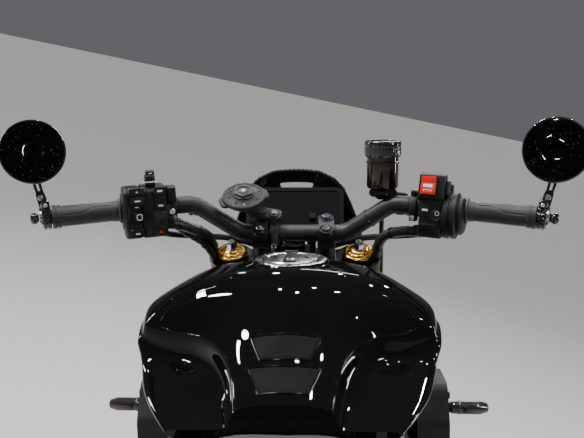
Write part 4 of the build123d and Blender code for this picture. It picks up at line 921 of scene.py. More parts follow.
# Right housing: kill switch cap, start key, stepped throttle rings
RIGHT_OUTLINE = [(-46, -16), (-36, -31), (14, -33), (32, -24), (34, 18), (24, 30), (-30, 31), (-46, 20)]
THROTTLE = [(GRIP_BAR_R, 84), (35, 84), (37, 85.5), (37, 93), (34.6, 94), (34.6, 96.5), (36.4, 97.5),
            (36.4, 104), (33, 106), (28.5, 106.4), (28.5, 108.4), (30, 109), (29.4, 112.5), (25, 116),
            (20.5, 116.9), (GRIP_BAR_R, 116.9)]
KILL_CAP = [(14, 8), (50, 4), (56, 12), (54, 26), (20, 34), (14, 30)]
ROCKER = [(-14, 0), (14, 0), (14, 4.5), (4, 3.2), (-5, 5.2), (-14, 6.4)]
right = Form()
right.plate(Matrix(), BLACK, RIGHT_OUTLINE, 7, 5, 49, 84, 2.5, 3)
right.turn(at(-10, 0, 0), BLACK, 96, THROTTLE)
right.block(at(27, -6, 90), BLACK, (22, 14, 8), 1.5, 3)
right.plate(Matrix(), BLACK, KILL_CAP, 3, 3, 46, 86, 2.0, 3)
right.plate(Matrix(), BLACK, [(20, 6), (44, 4), (46, 20), (24, 30)], 4, 3, 86, 92, 2.0)
kill = face_frame(38, 62, 31.2, 13)
right.add(frame_ring(27, 31, 2.0, 2.6, 3), kill)
right.plate(kill @ side_view(0), RED, ROCKER, 0.8, 2, -11.5, 11.5)
for place, size, corner, paint in (
    ((-0.5, -1.0, 4.9), (14.5, 5.0, 0.6), 1.2, WHITE),
    ((-0.5, -8.8, 6.0), (13.5, 3.6, 0.6), 1.6, WHITE),
    ((-0.5, -8.8, 6.3), (12.0, 2.4, 0.5), 0.8, RED),
):
    right.block(kill @ at(*place) @ turned(-8, "X"), paint, size, 0.1, corner)
button(right, (0, 59), (22, 20, 2.6), mark=(3.2, 9.0, WHITE))
right.turn(face_frame(-7, 76), BLACK, 36, [(0, 0), (8.5, 0), (8.5, 2.2), (7.6, 3.0), (7, 2.4), (0, 2.2)])
right.band(face_frame(-4, 78), WHITE, 24, 2.6, 3.4, 2.2, 2.8)
for reach, up in around(5, 3.2):
    right.block(face_frame(up - 9, reach + 76) @ at(0, 0, 2.5), GREY, (1.4, 1.4, 0.5), 0.1, 0.3)
button(right, (-30, 66), (18, 30, 2.4), BLACK, 29, -18, 4)
right.bolts([((-36, 27, 57), (0, 1, 0))], 3.4, 2.4, BLACK)
RIGHT_PAINTS = "moulded_black moulded_grey white_print red_plastic"
make("switch_right_finished", right, "steering", RIGHT_PAINTS, ["switch_right"],
     place=bar_frame(1))

# Hand levers: clamp round the bar, pivot knuckle, forged blade with a ball end; brake master cylinder
LEVER_DROP, BLADE_MIDDLE, BLADE_TIP = 12.0, 76.0, 74.0


def lever_point(reach, ahead, drop):
    return BAR_BEND_HIGH + BAR_OUT * reach + Vector((0, ahead, -drop))


LEVER_PIVOT = lever_point(52, 41, 8)
BLADE = [
    # reach along the grip, ahead of it, drop below it
    (72, 62, 9),
    (110, BLADE_MIDDLE + 2, LEVER_DROP),
    (160, BLADE_MIDDLE, LEVER_DROP),
    (200, BLADE_TIP, LEVER_DROP),
    (214, BLADE_TIP, LEVER_DROP),
]
PIVOT_BOSS = [(0, -10), (11, -10), (12, -9), (12, 9), (11, 10), (5.5, 10), (5.5, 9), (0, 9)]
PIVOT_SCREW = [(0, 8.5), (4.8, 8.5), (4.8, 11.5), (4.0, 12.2), (2.4, 12.2), (2.2, 10), (0, 10)]
LEVER_BALL = [(0, -8.4), (4.5, -7.2), (7.6, -3.6), (8.5, 0), (7.6, 3.6), (4.5, 7.2), (0, 8.4)]
half_turn = [pi * (0.02 + 0.96 * i / 14) for i in range(15)]
strap_outline = [(20.5 * cos(a), 20.5 * sin(a)) for a in half_turn]
strap_outline += [(BAR_R * cos(a), BAR_R * sin(a)) for a in reversed(half_turn)]
strap = slab(strap_outline, 30.5, 41.5, 1.2)
route = [LEVER_PIVOT, *[lever_point(*row) for row in BLADE]]
line = spline_points(route)
blade = []
for i, p in enumerate(line):
    along = (line[min(i + 1, len(line) - 1)] - line[max(i - 1, 0)]).normalized()
    sideways = along.cross(Vector(UP)).normalized()
    share = i / (len(line) - 1)
    deep, wide = 5.6 - 1.2 * share, 6.2 - 1.4 * share + 1.6 * max(0, 0.2 - share) * 5
    blade.append([p + sideways * wide * x + Vector(UP) * deep * y for x, y in around(20, 1.0)])
levers = Form()
for side in (-1, 1):
    upright = bar_frame(side) @ turned(-8)
    levers.add(strap, upright, 1)
    levers.add(strap, upright @ turned(180), 0)
    for up, paint in ((21, 2 if side < 0 else 3), (-21, 2)):
        levers.block(upright @ at(up * 0.86, 4, 36), 1, (13, 17, 12), 2, 3)
        levers.bolts([((up * 0.9, 12.6, 36), (0, 1, 0))], 4.3, 3.6, paint, place=upright)
    neck = [lever_point(36, 19, 3), lever_point(44, 30, 6), LEVER_PIVOT]
    levers.pipe(neck, [11, 10, 9.5], 20, 0, sided(side))
    pivot = sided(side) @ at(*LEVER_PIVOT)
    levers.turn(pivot, 0, 36, PIVOT_BOSS)
    levers.turn(pivot, 2, 24, PIVOT_SCREW)
    levers.add(rings(blade), sided(side))
    levers.turn(sided(side) @ at(*route[-1]), 0, 28, LEVER_BALL)
MASTER_INNER, MASTER_OUTER = Vector((168, 399, 1052)), Vector((226, 392, 1048))
master = axes(MASTER_INNER, MASTER_OUTER - MASTER_INNER)
long = (MASTER_OUTER - MASTER_INNER).length
MASTER_BODY = [(0, 0), (9.5, 0), (11, 1.5), (11, 14), (10, 15), (10, 19), (11, 20), (11, long - 4), (8, long),
               (0, long)]
levers.turn(master, 0, 40, MASTER_BODY)
levers.turn(master, 2, 24, [(0, -9), (5, -9), (6.4, -8), (6.4, -2), (9, -1.8), (9, 0.5), (0, 0.5)])
LEVER_PAINTS = "powder_black moulded_grey bright_steel black_bolt"
make("hand_levers_finished", levers, "steering", LEVER_PAINTS, ["hand_levers"])

# Brake reservoir: ribbed screw cap, smoked cup with fluid in it, eared bracket
CUP = Vector((144, 365, 1089))
CUP_WALL = [(0, 0), (19, 0), (23.6, 1), (25.5, 4.5), (25.5, 40), (26.6, 41), (26.6, 43.5), (25.2, 44.5),
            (25.2, 52), (0, 52)]
CUP_CAP = [(0, 50.5), (24, 50.5), (28.2, 51.5), (28.6, 53), (28.6, 55), (28.6, 66), (28.6, 67.5),
           (29.4, 68.5), (29.4, 74), (28.4, 75.8), (26, 77), (21, 77), (20.4, 75.8), (8, 75.8), (7.4, 77),
           (0, 77)]
EAR = [(0, -3), (6.6, -3), (7.2, -2), (7.2, 2), (6.6, 3), (3.2, 3), (3.0, 1.6), (0, 1.6)]
CUP_HANGER = [(-14, -8, -8), (-6, 0, -15), (6, 2, -15), (22, 8, -12)]
CUP_STAY = [(148, 366, 1077), (166, 372, 1079), (182, 377, 1076), (190, 394, 1054)]


def cap_ribs(a, r, h):
    return r + (0.75 * abs(sin(16 * a)) ** 0.6 if r > 28 and 54 < h < 68 else 0)


reservoir = Form()
cup_at = at(*CUP)
reservoir.turn(cup_at, 0, 64, CUP_WALL)
reservoir.turn(cup_at, 1, 48, [(0, 3.5), (22.0, 3.5), (23.0, 5), (23.0, 29), (0, 29)])
reservoir.turn(cup_at, 2, 128, CUP_CAP, cap_ribs)
for angle in (30, 150, 270):
    reservoir.block(cup_at @ turned(angle) @ at(13.5, 0, 76.4), 2, (9, 5, 3), 0.8, 1.5)
for side in (-1, 1):
    reservoir.turn(axes(CUP + Vector((15 * side, -13, -5)), (0, -1, 0.1)), 3, 28, EAR)
reservoir.block(cup_at @ at(0, -9, -5), 3, (34, 12, 7), 1.5, 3)
reservoir.pipe(CUP_HANGER, 3.6, 14, 3, cup_at)
reservoir.pipe(rounded(CUP_STAY, 8), 5, 16, 3)
reservoir.disc(cup_at @ at(0, 0, -11), 3, 28, 9, 0, 12)
CUP_PAINTS = "smoked_cup brake_fluid gloss_plastic black_bolt"
make("brake_reservoir_finished", reservoir, "steering", CUP_PAINTS, ["brake_reservoir"])

# Phone mount: winged round head with a hexagonal collar and a white centre, on a two-joint arm
PHONE = Vector((-80, 355, 1078))
SWIVEL = Vector((-31, 363, 1045))
ELBOW = PHONE + Vector((6, 8, -16))
PHONE_PLATE = [(0, -14), (20, -14), (28, -10.5), (33.5, -5), (34.6, -1), (34.6, 1.2), (33.4, 2.2),
               (31.2, 2.2), (30.8, 1.6), (26, 2.6), (19, 5.4), (18.2, 6.4), (0, 6.4)]
PHONE_COLLAR = [(0, 6), (15, 6), (15, 11.2), (14, 12), (11.5, 12), (11, 10.8), (7.5, 10.8), (7.2, 11.6),
                (0, 11.6)]
phone = Form()
head = axes(PHONE, (0, -0.485, 0.875))
phone.turn(head, 0, 96, PHONE_PLATE)
for wing in (20, 200):
    phone.plate(head @ turned(wing), 0, [(24, -15), (40.5, -13), (40.5, 13), (24, 15)], 9, 6, -7.5, -2.5, 1.4,
                3)
phone.turn(head, 0, 72, [(18.4, 6), (18.4, 7.6), (17.2, 8.4), (12, 8.4)])
phone.turn(head, 3, 72, PHONE_COLLAR, lambda a, r, h: hexagon(a, 14.6) * (r / 15) if r > 13.9 else r)
phone.turn(head, 1, 36, [(0, 11.2), (3.2, 11.2), (3.0, 11.8), (0, 11.9)])
phone.band(head, 0, 48, 8.6, 9.6, 10.7, 11.3)
for angle in range(0, 360, 45):
    phone.block(head @ turned(angle + 20) @ at(24, 0, 3.6), 0, (5.0, 2.6, 1.0), 0.3, 0.8)
phone.turn(head @ at(3, -27, 0), 1, 12, [(0, 1.9), (1.1, 1.9), (1.1, 3.4), (0, 3.5)])
arm = axes(SWIVEL, (0, -0.62, 0.78), SWIVEL - ELBOW)
reach = (SWIVEL - ELBOW).length
phone.plate(arm, 0, [(-reach, -9), (0, -10.5), (12.5, -9), (12.5, 9), (0, 10.5), (-reach, 9)], 8, 6, -5, 5, 2,
            4)
phone.disc(arm, 0, 40, 8.6, 4.5, 7.2, 0.8, 0.8)
phone.bolts([((0, 0, 7), UP)], 4.4, 2.4, 2, place=arm)
knob = [(0, 4), (8.6, 4), (8.6, 8.4), (7.6, 9.4), (0, 9.4)]
phone.turn(arm @ at(-20, 0, 0), 3, 64, knob, notched(16, 0.7, 8, 0.8))
elbow_joint = axes(ELBOW - Vector((0, 0, 6)), (0, -0.3, 0.95))
phone.turn(elbow_joint, 0, 32, [(0, -4), (8, -4), (10, 0), (8, 10), (0, 11)])
phone.pipe([(-31, 362, 1043), (-31, 365, 1034), (-31, 367, 1027)], [9.5, 9, 10], 28)
phone_ring = [(BAR_R + 0.1, -7), (19, -7), (20, -6), (20, 6), (19, 7), (BAR_R + 0.1, 7)]
phone.turn(across(BAR_MIDDLE.y, BAR_MIDDLE.z, -31), 0, 48, phone_ring)
phone.block(at(-31, 349, 1005), 0, (10, 9, 24), 1.5, 3)
phone.bolts([((-31, 346, 998), (0, -1, 0))], 4, 3, 2)
PHONE_PAINTS = "moulded_grey white_print bright_steel grip_rubber"
make("phone_mount_finished", phone, "steering", PHONE_PAINTS, ["phone_mount"])

# Dash: a grey bezel round a flat black glass, with two lugs
CASE_WIDE, CASE_TALL = 166, 84
dash_face = axes((0, 434, 1041), (0, -0.80, 0.60))
case = rounded(rectangle(CASE_WIDE, CASE_TALL), 13, True, 8)
BEZEL = [
    # how far the bezel's line lies outside the case, height
    (-3, -9.8), (0, -7), (0, 7.5), (-1.5, 9.6), (-3.0, 10), (-3.8, 9.9), (-4.2, 9.2), (-4.4, 8.3),
]
dash = Form()
dash.add(rings([[(p[0], p[1], z) for p in (grown(case, d) if d else case)] for d, z in BEZEL]), dash_face)
dash.add(slab(grown(case, -4.4), 7.6, 8.6, 0.3, 1), dash_face, 1)
for side in (-1, 1):
    dash.plate(dash_face @ sided(side), 2, [(30, -9.6), (36, -9.6), (36, -40), (30, -40)], 2, 2, -3, 3, 1)
make("dash_finished", dash, "steering", "moulded_grey screen_glass moulded_black")

# Fork tops: gold cap, slotted gold ring and a silver hexagonal adjuster
GOLD_CAP = [(0, 742), (24, 742), (25.4, 742.6), (25.4, 744.5), (24.4, 745.5), (22.6, 745.9), (22, 744.9),
            (18.4, 744.9), (17.8, 747.4), (16.6, 748), (14.2, 748), (13.6, 751), (12.4, 751.6), (0, 751.6)]
ADJUSTER = [(0, 751), (9.6, 751), (9.6, 753), (8.3, 753.4), (8.3, 762), (7.0, 764.6), (5.2, 766), (3.0, 766),
            (2.8, 763), (0, 763)]


def cap_fins(a, r, h):
    return r - (1.2 if 16 < r < 20 and (a * 12 / pi) % 2 < 0.8 else 0)


fork_tops = Form()
for side in (-1, 1):
    top = STEER @ at(FORK_HALF * side, FORK_OFFSET, 0)
    fork_tops.turn(top, 0, 96, GOLD_CAP, cap_fins)
    fork_tops.turn(top, 1, 48, ADJUSTER, lambda a, r, h: hexagon(a, r) if h < 762.5 and r > 8 else r)
    fork_tops.band(top, 0, 64, 19.2, 21, 744.8, 746.4)
    for i in range(4):
        fork_tops.block(top @ turned(45 + 90 * i) @ at(15.4, 0, 748.4), 0, (3.2, 2.2, 1.6), 0.4, 0.8)
make("fork_tops", fork_tops, "steering", "gold_anodised bright_steel", ["fork_caps"])

# Riser clamps: two bright screws each, a split line and a ribbed foot; ignition barrel and steering nut
RISER_BOSS = [(0, 14), (12.4, 14), (12.8, 14.6), (12.8, 18.8), (11.8, 19.8), (8.4, 20), (7.6, 19), (0, 19)]
BARREL_TOP = [(0, 0), (17.4, 0), (17.4, 26), (16, 30.4), (12, 31), (11.2, 29.8), (5.4, 29.8), (5.0, 28.6),
              (0, 28.6)]
STEERING_NUT = [(0, 4), (20, 4), (20, 8.6), (18.5, 9.8), (9, 9.8), (8.6, 6), (0, 6)]
fixings = Form()
bar_s = STEER.inverted() @ BAR_MIDDLE
for side in (-1, 1):
    post = STEER @ at(RISER_X * side, bar_s.y, 0)
    for n in (-19, 19):
        fixings.bolts([((0, n * 0.9, bar_s.z + 18.6), UP)], 6.2, 5.2, 0, place=post)
        fixings.turn(post @ at(0, n * 0.9, bar_s.z), 1, 40, RISER_BOSS)
    fixings.block(post @ at(0, 0, bar_s.z + 0.5), 1, (25.8, 53, 1.2), 0.3, 1)
    for s in (8, 14, 20, 26):
        rib = [(14.8, s - 1.2), (15.9, s - 0.5), (15.9, s + 0.5), (14.8, s + 1.2)]
        fixings.hoop(post @ at(0, 0, TOP_CLAMP_TOP), 1, 40, rib)
    clamp_bolt = STEER @ at(side * (FORK_HALF - 46), FORK_OFFSET + 13, TOP_CLAMP_TOP)
    fixings.bolts([((0, 0, 0), UP), ((2 * side, -42, 0), UP)], 6.5, 4.5, 0, place=clamp_bolt)
barrel = STEER @ at(0, 36, TOP_CLAMP_TOP)
fixings.turn(barrel, 1, 48, BARREL_TOP)
fixings.band(barrel, 0, 40, 6.2, 10.2, 29.6, 30.4)
fixings.block(barrel @ at(0, 0, 29.4), 2, (2, 9, 1.2), 0.2, 0.5)
nut_place = STEER @ at(0, 0, TOP_CLAMP_TOP)
fixings.turn(nut_place, 0, 48, STEERING_NUT, lambda a, r, h: hexagon(a, r * 0.96) if r > 15 else r)
for side in (-1, 1):
    fixings.block(STEER @ at(side * 27, 58, TOP_CLAMP_TOP + 12), 0, (14, 3, 9), 0.6, 1)
make("cockpit_fixings", fixings, "steering", "bright_steel anodised_black black_bolt")

# Tyres: rounded section with a line moulded round each wall and swept grooves in the tread
TYRES = [
    # name, node, body, axle, outer radius, half width, rim half width, crown radius, grooves round it
    ("front_tyre_moulded", "front_tyre", "front_wheel", FRONT_AXLE, FRONT_RADIUS, 60.0, 45.0, 62.0, 22),
    ("rear_tyre_moulded", "rear_tyre", "rear_wheel", REAR_AXLE, REAR_RADIUS, 89.0, 72.0, 92.0, 20),
]
CROWN_EDGE = radians(52)
GROOVE_DEEP = 3.6
TYRE_TURNS, TREAD_STEPS = 600, 36


def tread_depth(turn, share, count, half_arc):
    """Depth of the grooves at a turn round the tyre (radians) and a share of the way from crown to edge."""
    reach = abs(share)
    step = 2 * pi / count
    depth = 0.0
    for start, low, high, half in ((0.0, 0.08, 0.62, 3.4), (0.38, 0.42, 0.93, 2.6)):
        if not low < reach < high:
            continue
        bend = step * (start + 0.5 * (share < 0) + 1.25 * reach**1.4)
        off = (turn - bend + step / 2) % step - step / 2
        wide = half * min(1.0, (reach - low) * half_arc / 3, (high - reach) * half_arc / 3)
        depth = max(depth, GROOVE_DEEP * min(1.0, max(0.0, 1.5 - abs(off) * 300 / max(wide, 0.3))))
    return depth * (1 - 0.4 * reach)


for name, node, body, axle, radius, half, rim_half, crown, count in TYRES:
    wall = [(219, rim_half - 1.5), (236, rim_half - 1.5), (239, half - 11), (243, half - 7),
            (245, half - 4.6), (246.5, half - 4.4), (248, half - 5), (256, half - 3.2), (263, half - 3.8)]
    hollow = [(219, rim_half - 14), (FRONT_RADIUS - 58, half - 16), (radius - 20, half * 0.55),
              (radius - 13, 0)]
    sections = []
    for i in range(TYRE_TURNS):
        turn = 2 * pi * i / TYRE_TURNS
        ring = list(wall)
        for k in range(TREAD_STEPS + 1):
            share = 1 - 2 * k / TREAD_STEPS
            reach = crown - tread_depth(turn, share, count, crown * CROWN_EDGE)
            angle = CROWN_EDGE * share
            ring.append((radius - crown + reach * cos(angle), max(-half, min(half, reach * sin(angle)))))
        ring += [(r, -w) for r, w in [*reversed(wall), *hollow]] + hollow[-2::-1]
        sections.append([(r * cos(turn), r * sin(turn), w) for r, w in ring])
    tyre = Form()
    tyre.add(rings(sections, loop=True), across(axle.y, axle.z))
    make(name, tyre, body, "tyre_rubber", [node], crease=40)


# Brake discs: dark carriers over the arms, bright bobbins, bolts; rims: valve, hub seals, balance weights
def drilled_ring(outer, inner, thick):
    """A flat ring with three staggered rows of cooling holes, cut by a boolean."""
    holes, ring = Form(), Form()
    for row, share in enumerate((0.27, 0.5, 0.73)):
        for x, y in around(24, inner + (outer - inner) * share, row / 3):
            holes.disc(at(x, y, 0), 0, 14, 2.9, -thick, thick)
    rim = [(inner, -thick / 2), (outer - 0.5, -thick / 2), (outer, -thick / 2 + 0.5),
           (outer, thick / 2 - 0.5), (outer - 0.5, thick / 2), (inner, thick / 2)]
    ring.hoop(Matrix(), 0, 144, rim)
    parts = []
    for form in (ring, holes):
        mesh = bpy.data.meshes.new("cut")
        mesh.from_pydata(form.points, [], form.faces)
        work = bmesh.new()
        work.from_mesh(mesh)
        bmesh.ops.recalc_face_normals(work, faces=work.faces)
        work.to_mesh(mesh)
        work.free()
        parts.append(bpy.data.objects.new("cut", mesh))
        bpy.context.scene.collection.objects.link(parts[-1])
    cut = parts[0].modifiers.new("cut", "BOOLEAN")
    cut.operation = "DIFFERENCE"
    cut.solver = "EXACT"
    cut.object = parts[1]
    out = bpy.data.meshes.new_from_object(parts[0].evaluated_get(bpy.context.evaluated_depsgraph_get()))
    shape = [v.co.copy() for v in out.vertices], [tuple(f.vertices) for f in out.polygons]
    for part in parts:
        bpy.data.objects.remove(part)
    return shape


BOBBIN = [(0, 4.3), (3.2, 4.3), (3.4, 4.9), (6.0, 4.9), (6.6, 4.2), (6.6, 2.4), (0, 2.4)]
DISCS = [
    # node, body, axle, x positions, radii of the ring outside and inside, of the carrier and of the bolts'
    # circle, and the hub boss
    ("front_discs", "front_wheel", FRONT_AXLE, (74.0, -74.0), 155.0, 122.0, 60.0, 52.0, (37, 58, 62.1, 70.7)),
    ("rear_disc", "rear_wheel", REAR_AXLE, (108.0,), 120.0, 92.0, 48.0, 40.0, (31, 46, 92.1, 104.7)),
]
DISC_ARMS = 8
for node, body, axle, places, outer, inner, carrier, bolt_circle, boss in DISCS:
    fittings = Form()
    rim = [(carrier - 15.6, 3.3), (carrier - 15.2, 4.0), (carrier + 7.6, 4.0), (carrier + 8.0, 3.3),
           (carrier + 8, 2.4), (carrier - 15.6, 2.4)]
    arm_outline = [(carrier + 4, -8.2), (inner + 3, -5.4), (inner + 5, 0), (inner + 3, 5.4),
                   (carrier + 4, 8.2)]
    for x in places:
        out = 1 if x > 0 else -1
        disc_place = across(axle.y, axle.z, x)
        fittings.add(drilled_ring(outer, inner, 5.0), disc_place, 3)
        fittings.band(disc_place, 3, 96, carrier - 16, carrier + 8, -3.5, 3.5)
        for i in range(DISC_ARMS):
            spoke = disc_place @ turned(i * 360 / DISC_ARMS) @ at((inner + carrier) / 2, 0, 0)
            fittings.add(brick((inner - carrier + 10, 14, 5)), spoke, 3)
        for face in (1, -1):
            base = disc_place @ flipped(face)
            fittings.hoop(base, 0, 72, rim)
            for i in range(DISC_ARMS):
                arm = base @ turned(face * i * 360 / DISC_ARMS)
                fittings.plate(arm, 0, arm_outline, 2, 2, 2.0, 3.5, 0.4)
                fittings.turn(arm @ at(inner + 4, 0, 0), 1, 24, BOBBIN)
        spots = [(disc_place @ Vector((u, v, out * 3.9)), (out, 0, 0)) for u, v in around(6, bolt_circle,
                                                                                          0.5)]
        fittings.bolts(spots, 6.5, 5.0, 2)
    for x in places:
        fittings.band(across(axle.y, axle.z) @ flipped(x), 0, 64, *boss)
    make(node + "_drilled", fittings, body, "anodised_black bright_steel black_bolt disc_steel",
         [node])

VALVE_ANGLE = 0.5
for body, axle, hub, rim_half in (("front_wheel", FRONT_AXLE, 62, 45), ("rear_wheel", REAR_AXLE, 92, 72)):
    wheel = Form()
    place = across(axle.y, axle.z)
    spots = ((198, rim_half * 0.45), (188, rim_half * 0.55), (170, rim_half * 0.75))
    valve = [place @ Vector((cos(VALVE_ANGLE) * r, sin(VALVE_ANGLE) * r, z)) for r, z in spots]
    wheel.pipe(valve, [4.4, 3.6, 3.4], 16, 1)
    wheel.disc(axes(valve[2], valve[2] - valve[1]), 0, 16, 4.6, 0, 10, 1.0, 2)
    seal = [(13.2, hub - 2), (13.2, hub + 0.3), (20, hub + 0.3), (20.5, hub - 0.6), (27, hub - 0.6),
            (28, hub + 0.3), (35.6, hub + 0.3), (36.4, hub - 0.8), (36.4, hub - 2)]
    edge = rim_half + 7.1
    for side in (-1, 1):
        face = place @ flipped(side)
        wheel.hoop(face, 1, 56, seal)
        wheel.turn(face, 2, 180, [(231.2, edge), (229.2, edge + 0.4), (226.6, edge + 0.4), (225.2, edge)])
    for k in range(4):
        weight = place @ turned(200 + 3.2 * k) @ at(203.5, 0, 4) @ turned(90, "Y")
        wheel.block(weight, 2, (12, 8.5, 3), 0.6, 1.2)
    make(body + "_fixings", wheel, body, "dark_steel moulded_black moulded_grey")


# Roller chain: pins one pitch apart round both sprockets, waisted plates, inner and outer by turns
def pitch_radius(teeth):
    return CHAIN_PITCH / (2 * sin(pi / teeth))


def chain_pins():
    """The pins' places in the chain's plane, as (y, z)."""
    big, small = pitch_radius(REAR_TEETH), pitch_radius(FRONT_TEETH)
    rear, front = REAR_AXLE.yz, SPROCKET.yz
    reach = (front - rear).length
    heading = atan2(front.y - rear.y, front.x - rear.x)
    tilt = atan2((reach**2 - (big - small) ** 2) ** 0.5, big - small)
    span = reach * sin(tilt)
    lengths = [span, 2 * tilt * small, span, (2 * pi - 2 * tilt) * big]
    total = sum(lengths)
    count = round(total / CHAIN_PITCH / 2) * 2
    pins = []
    for i in range(count):
        left, part = (i + 0.5) * total / count, 0
        while left > lengths[part]:
            left -= lengths[part]
            part += 1
        center, r = (rear, big) if part in (0, 3) else (front, small)
        angle = heading + (tilt if part in (0, 1) else -tilt)
        run = Vector((0, 0))
        if part in (0, 2):
            run = Vector((cos(angle - pi / 2), sin(angle - pi / 2))) * left
        else:
            angle -= left / r
        pins.append(center + Vector((cos(angle), sin(angle))) * r + run)
    return pins


def link_outline(half_length, end, waist):
    """A waisted plate: two round ends joined by hollowed sides."""
    points = []
    for side in (1, -1):
        for k in range(6):
            a = radians(-75 + 150 * k / 5) + (0 if side > 0 else pi)
            points.append((side * half_length + end * cos(a), end * sin(a)))
        points.append((0, side * waist))
    return points


link_plate = slab(link_outline(CHAIN_PITCH / 2, 6.8, 5.0), -0.9, 0.9, 0.3, 1)
chain = Form()
pins = chain_pins()
for i, pin in enumerate(pins):
    spot = across(pin.x, pin.y, CHAIN_X)
    chain.band(spot, 1, 14, 3, 5.1, -4.4, 4.4)
    chain.turn(spot, 1, 10, [(0, -10.6), (2.0, -10.6), (2.6, -10.0), (2.6, 10.0), (2.0, 10.6), (0, 10.6)])
    after = pins[(i + 1) % len(pins)]
    middle, along = (pin + after) / 2, after - pin
    lie = across(middle.x, middle.y, CHAIN_X) @ Matrix.Rotation(atan2(along.y, along.x), 4, "Z")
    for side in (-1, 1):
        chain.add(link_plate, lie @ at(0, 0, side * (5.6 if i % 2 else 8.2)))
make("chain_links", chain, "chassis", "dark_steel bright_steel", ["chain"], crease=30)

# Engine: cover rims with their bolts, caps, plugs, oil filter, coils, head nuts
ENGINE_HALF = 135.0
BARREL = axes((0, 214, 480), (0, sin(radians(17)), cos(radians(17))))
COVERS = [
    # y, z, radius, how far out, side, bolts
    (86, 390, 92, 52, 1, 10),
    (262, 352, 58, 34, 1, 6),
    (262, 356, 78, 56, -1, 9),
    (120, 440, 44, 30, -1, 5),
]
CASE_BOLTS = [(120, 290), (190, 262), (312, 300), (336, 392), (300, 462), (40, 330), (40, 470)]
FILLER_PLUG = [(0, 0), (22, 0), (22, 10), (20.5, 12), (9, 12.2), (8.6, 10.4), (0, 10.2)]
SIGHT_RIM = [(11, 0), (17, 0), (17, 4), (15.8, 5), (11.5, 5), (11, 4)]
OIL_FILTER = [(0, -62), (28, -62), (33, -58), (34, -50), (34, 0), (0, 0)]
COIL_LEAD = [(0, -30, 238), (0, -36, 248), (4, -62, 250), (6, -84, 240)]
CYLINDERS = (-84, 0, 84)
engine_trim = Form()
for y, z, radius, out, side, count in COVERS:
    place = across(y, z, ENGINE_HALF, side)
    collar = [(radius - 2, 0), (radius + 3.5, 0), (radius + 3.5, 5), (radius + 2.5, 6), (radius - 2, 6)]
    engine_trim.hoop(place, 0, 96, collar)
    engine_trim.band(place, 2, 96, radius, radius + 3.9, 6.0, 7.2)
    for u, v in around(count, radius + 2.5, 0.3):
        engine_trim.disc(place @ at(u, v, 0), 0, 28, 8.6, 0, 12.4, 1.0, 1.4)
        engine_trim.add(socket_bolt(4.9, 5.0), place @ at(u, v, 12.2), 1)
    rim = radius * 0.68
    bead = [(rim - 3, out - 0.6), (rim + 0.2, out - 0.6), (rim - 0.6, out + 1.2), (rim - 2.4, out + 1.2)]
    engine_trim.hoop(place, 0, 84, bead)
    for k in range(6):
        rib_place = place @ turned(60 * k) @ at(rim * 0.56, 0, out + 0.6)
        engine_trim.add(brick((rim * 0.52, 3.0, 2.2)), rib_place)
    engine_trim.disc(place, 0, 48, rim * 0.28, out, out + 3.2, rim * 0.04, 0.8)
plug = across(182, 470, ENGINE_HALF - 1)
engine_trim.turn(plug, 3, 96, FILLER_PLUG, notched(8, 1.6, 18, 0.5))
engine_trim.block(plug @ at(0, 0, 12), 3, (26, 4.4, 7), 0.8, 1.5)
sight = across(176, 300, ENGINE_HALF - 1)
engine_trim.hoop(sight, 1, 48, SIGHT_RIM)
engine_trim.turn(sight, 4, 40, [(0, 3.2), (11.3, 3.2), (11.3, 1), (0, 1)])
flute = lambda a, r, h: r - (0.0 if h > -50 or r < 30 else 1.4 * max(0.0, cos(12 * a)))
engine_trim.turn(axes((56, 346, 318), (0, -1, 0.1)), 5, 96, OIL_FILTER, flute)
engine_trim.add(hex_bolt(9, 8), axes((0, 150, 196.5), (0, 0, -1)), 1)
for x in CYLINDERS:
    engine_trim.block(BARREL @ at(x, -30, 226), 5, (34, 40, 26), 3, 6)
    engine_trim.pipe(COIL_LEAD, 4.2, 14, 5, BARREL @ at(x, 0, 0))
engine_trim.bolts([((x, y, 214.6), UP) for x in (-118, -42, 42, 118) for y in (-60, 58)], 7, 6, 1,
                  place=BARREL)
engine_trim.bolts([((x, y, 176.2), UP) for x in (-134, 134) for y in (-93, 93)], 4.5, 6, 1, hex_bolt, BARREL)
for z in (114.4, 145, 172.6):
    engine_trim.plate(BARREL @ at(0, 0, z), 2, rectangle(282, 198), 6, 4, -0.9, 0.9, 0.3)
for y, z in CASE_BOLTS:
    for side in (-1, 1):
        if side > 0 or (y - 262) ** 2 + (z - 356) ** 2 > 95**2:
            engine_trim.bolts(outward(side, ENGINE_HALF + 0.1, [(y, z)]), 6, 5, 1, hex_bolt)
for z in (278, 300, 322):
    for side in (-1, 1):
        engine_trim.block(across(196, z, ENGINE_HALF + 0.8, side), 5, (210, 4, 3), 0.8, 1.5)
for z in (485, 307):
    for side in (-1, 1):
        engine_trim.block(at(side * 39, -50, z), 5, (18, 26, 34), 2, 4)
ENGINE_PAINTS = "cast_cover black_bolt dark_steel cap_dark brake_fluid cast_engine"
make("engine_fittings", engine_trim, "chassis", ENGINE_PAINTS)

# Front sprocket cover: raised rim, slots and bolts on the left
COVER_OUTLINE = [(19.9, 352), (19.9, 458), (-30, 458), (-58, 430), (-58, 372), (-30, 348)]
cover = Form()
cover_view = side_view(134.2, -1)
cover.plate(cover_view, 0, scaled(COVER_OUTLINE, (-10, 403), 0.9), 8, 4, -0.4, 3.2, 1.4)
for k in range(3):
    low = 384 + 16 * k
    cover.plate(cover_view, 1, [(-36, low), (4, low), (4, low + 5), (-36, low + 5)], 2.4, 3, 3.0, 4.6, 0.6)
cover.bolts(outward(-1, 137.4, [(10, 366), (10, 444), (-34, 446), (-46, 380)]), 5.2, 5.0, 1)
make("sprocket_cover_trim", cover, "chassis", "cast_engine black_bolt")

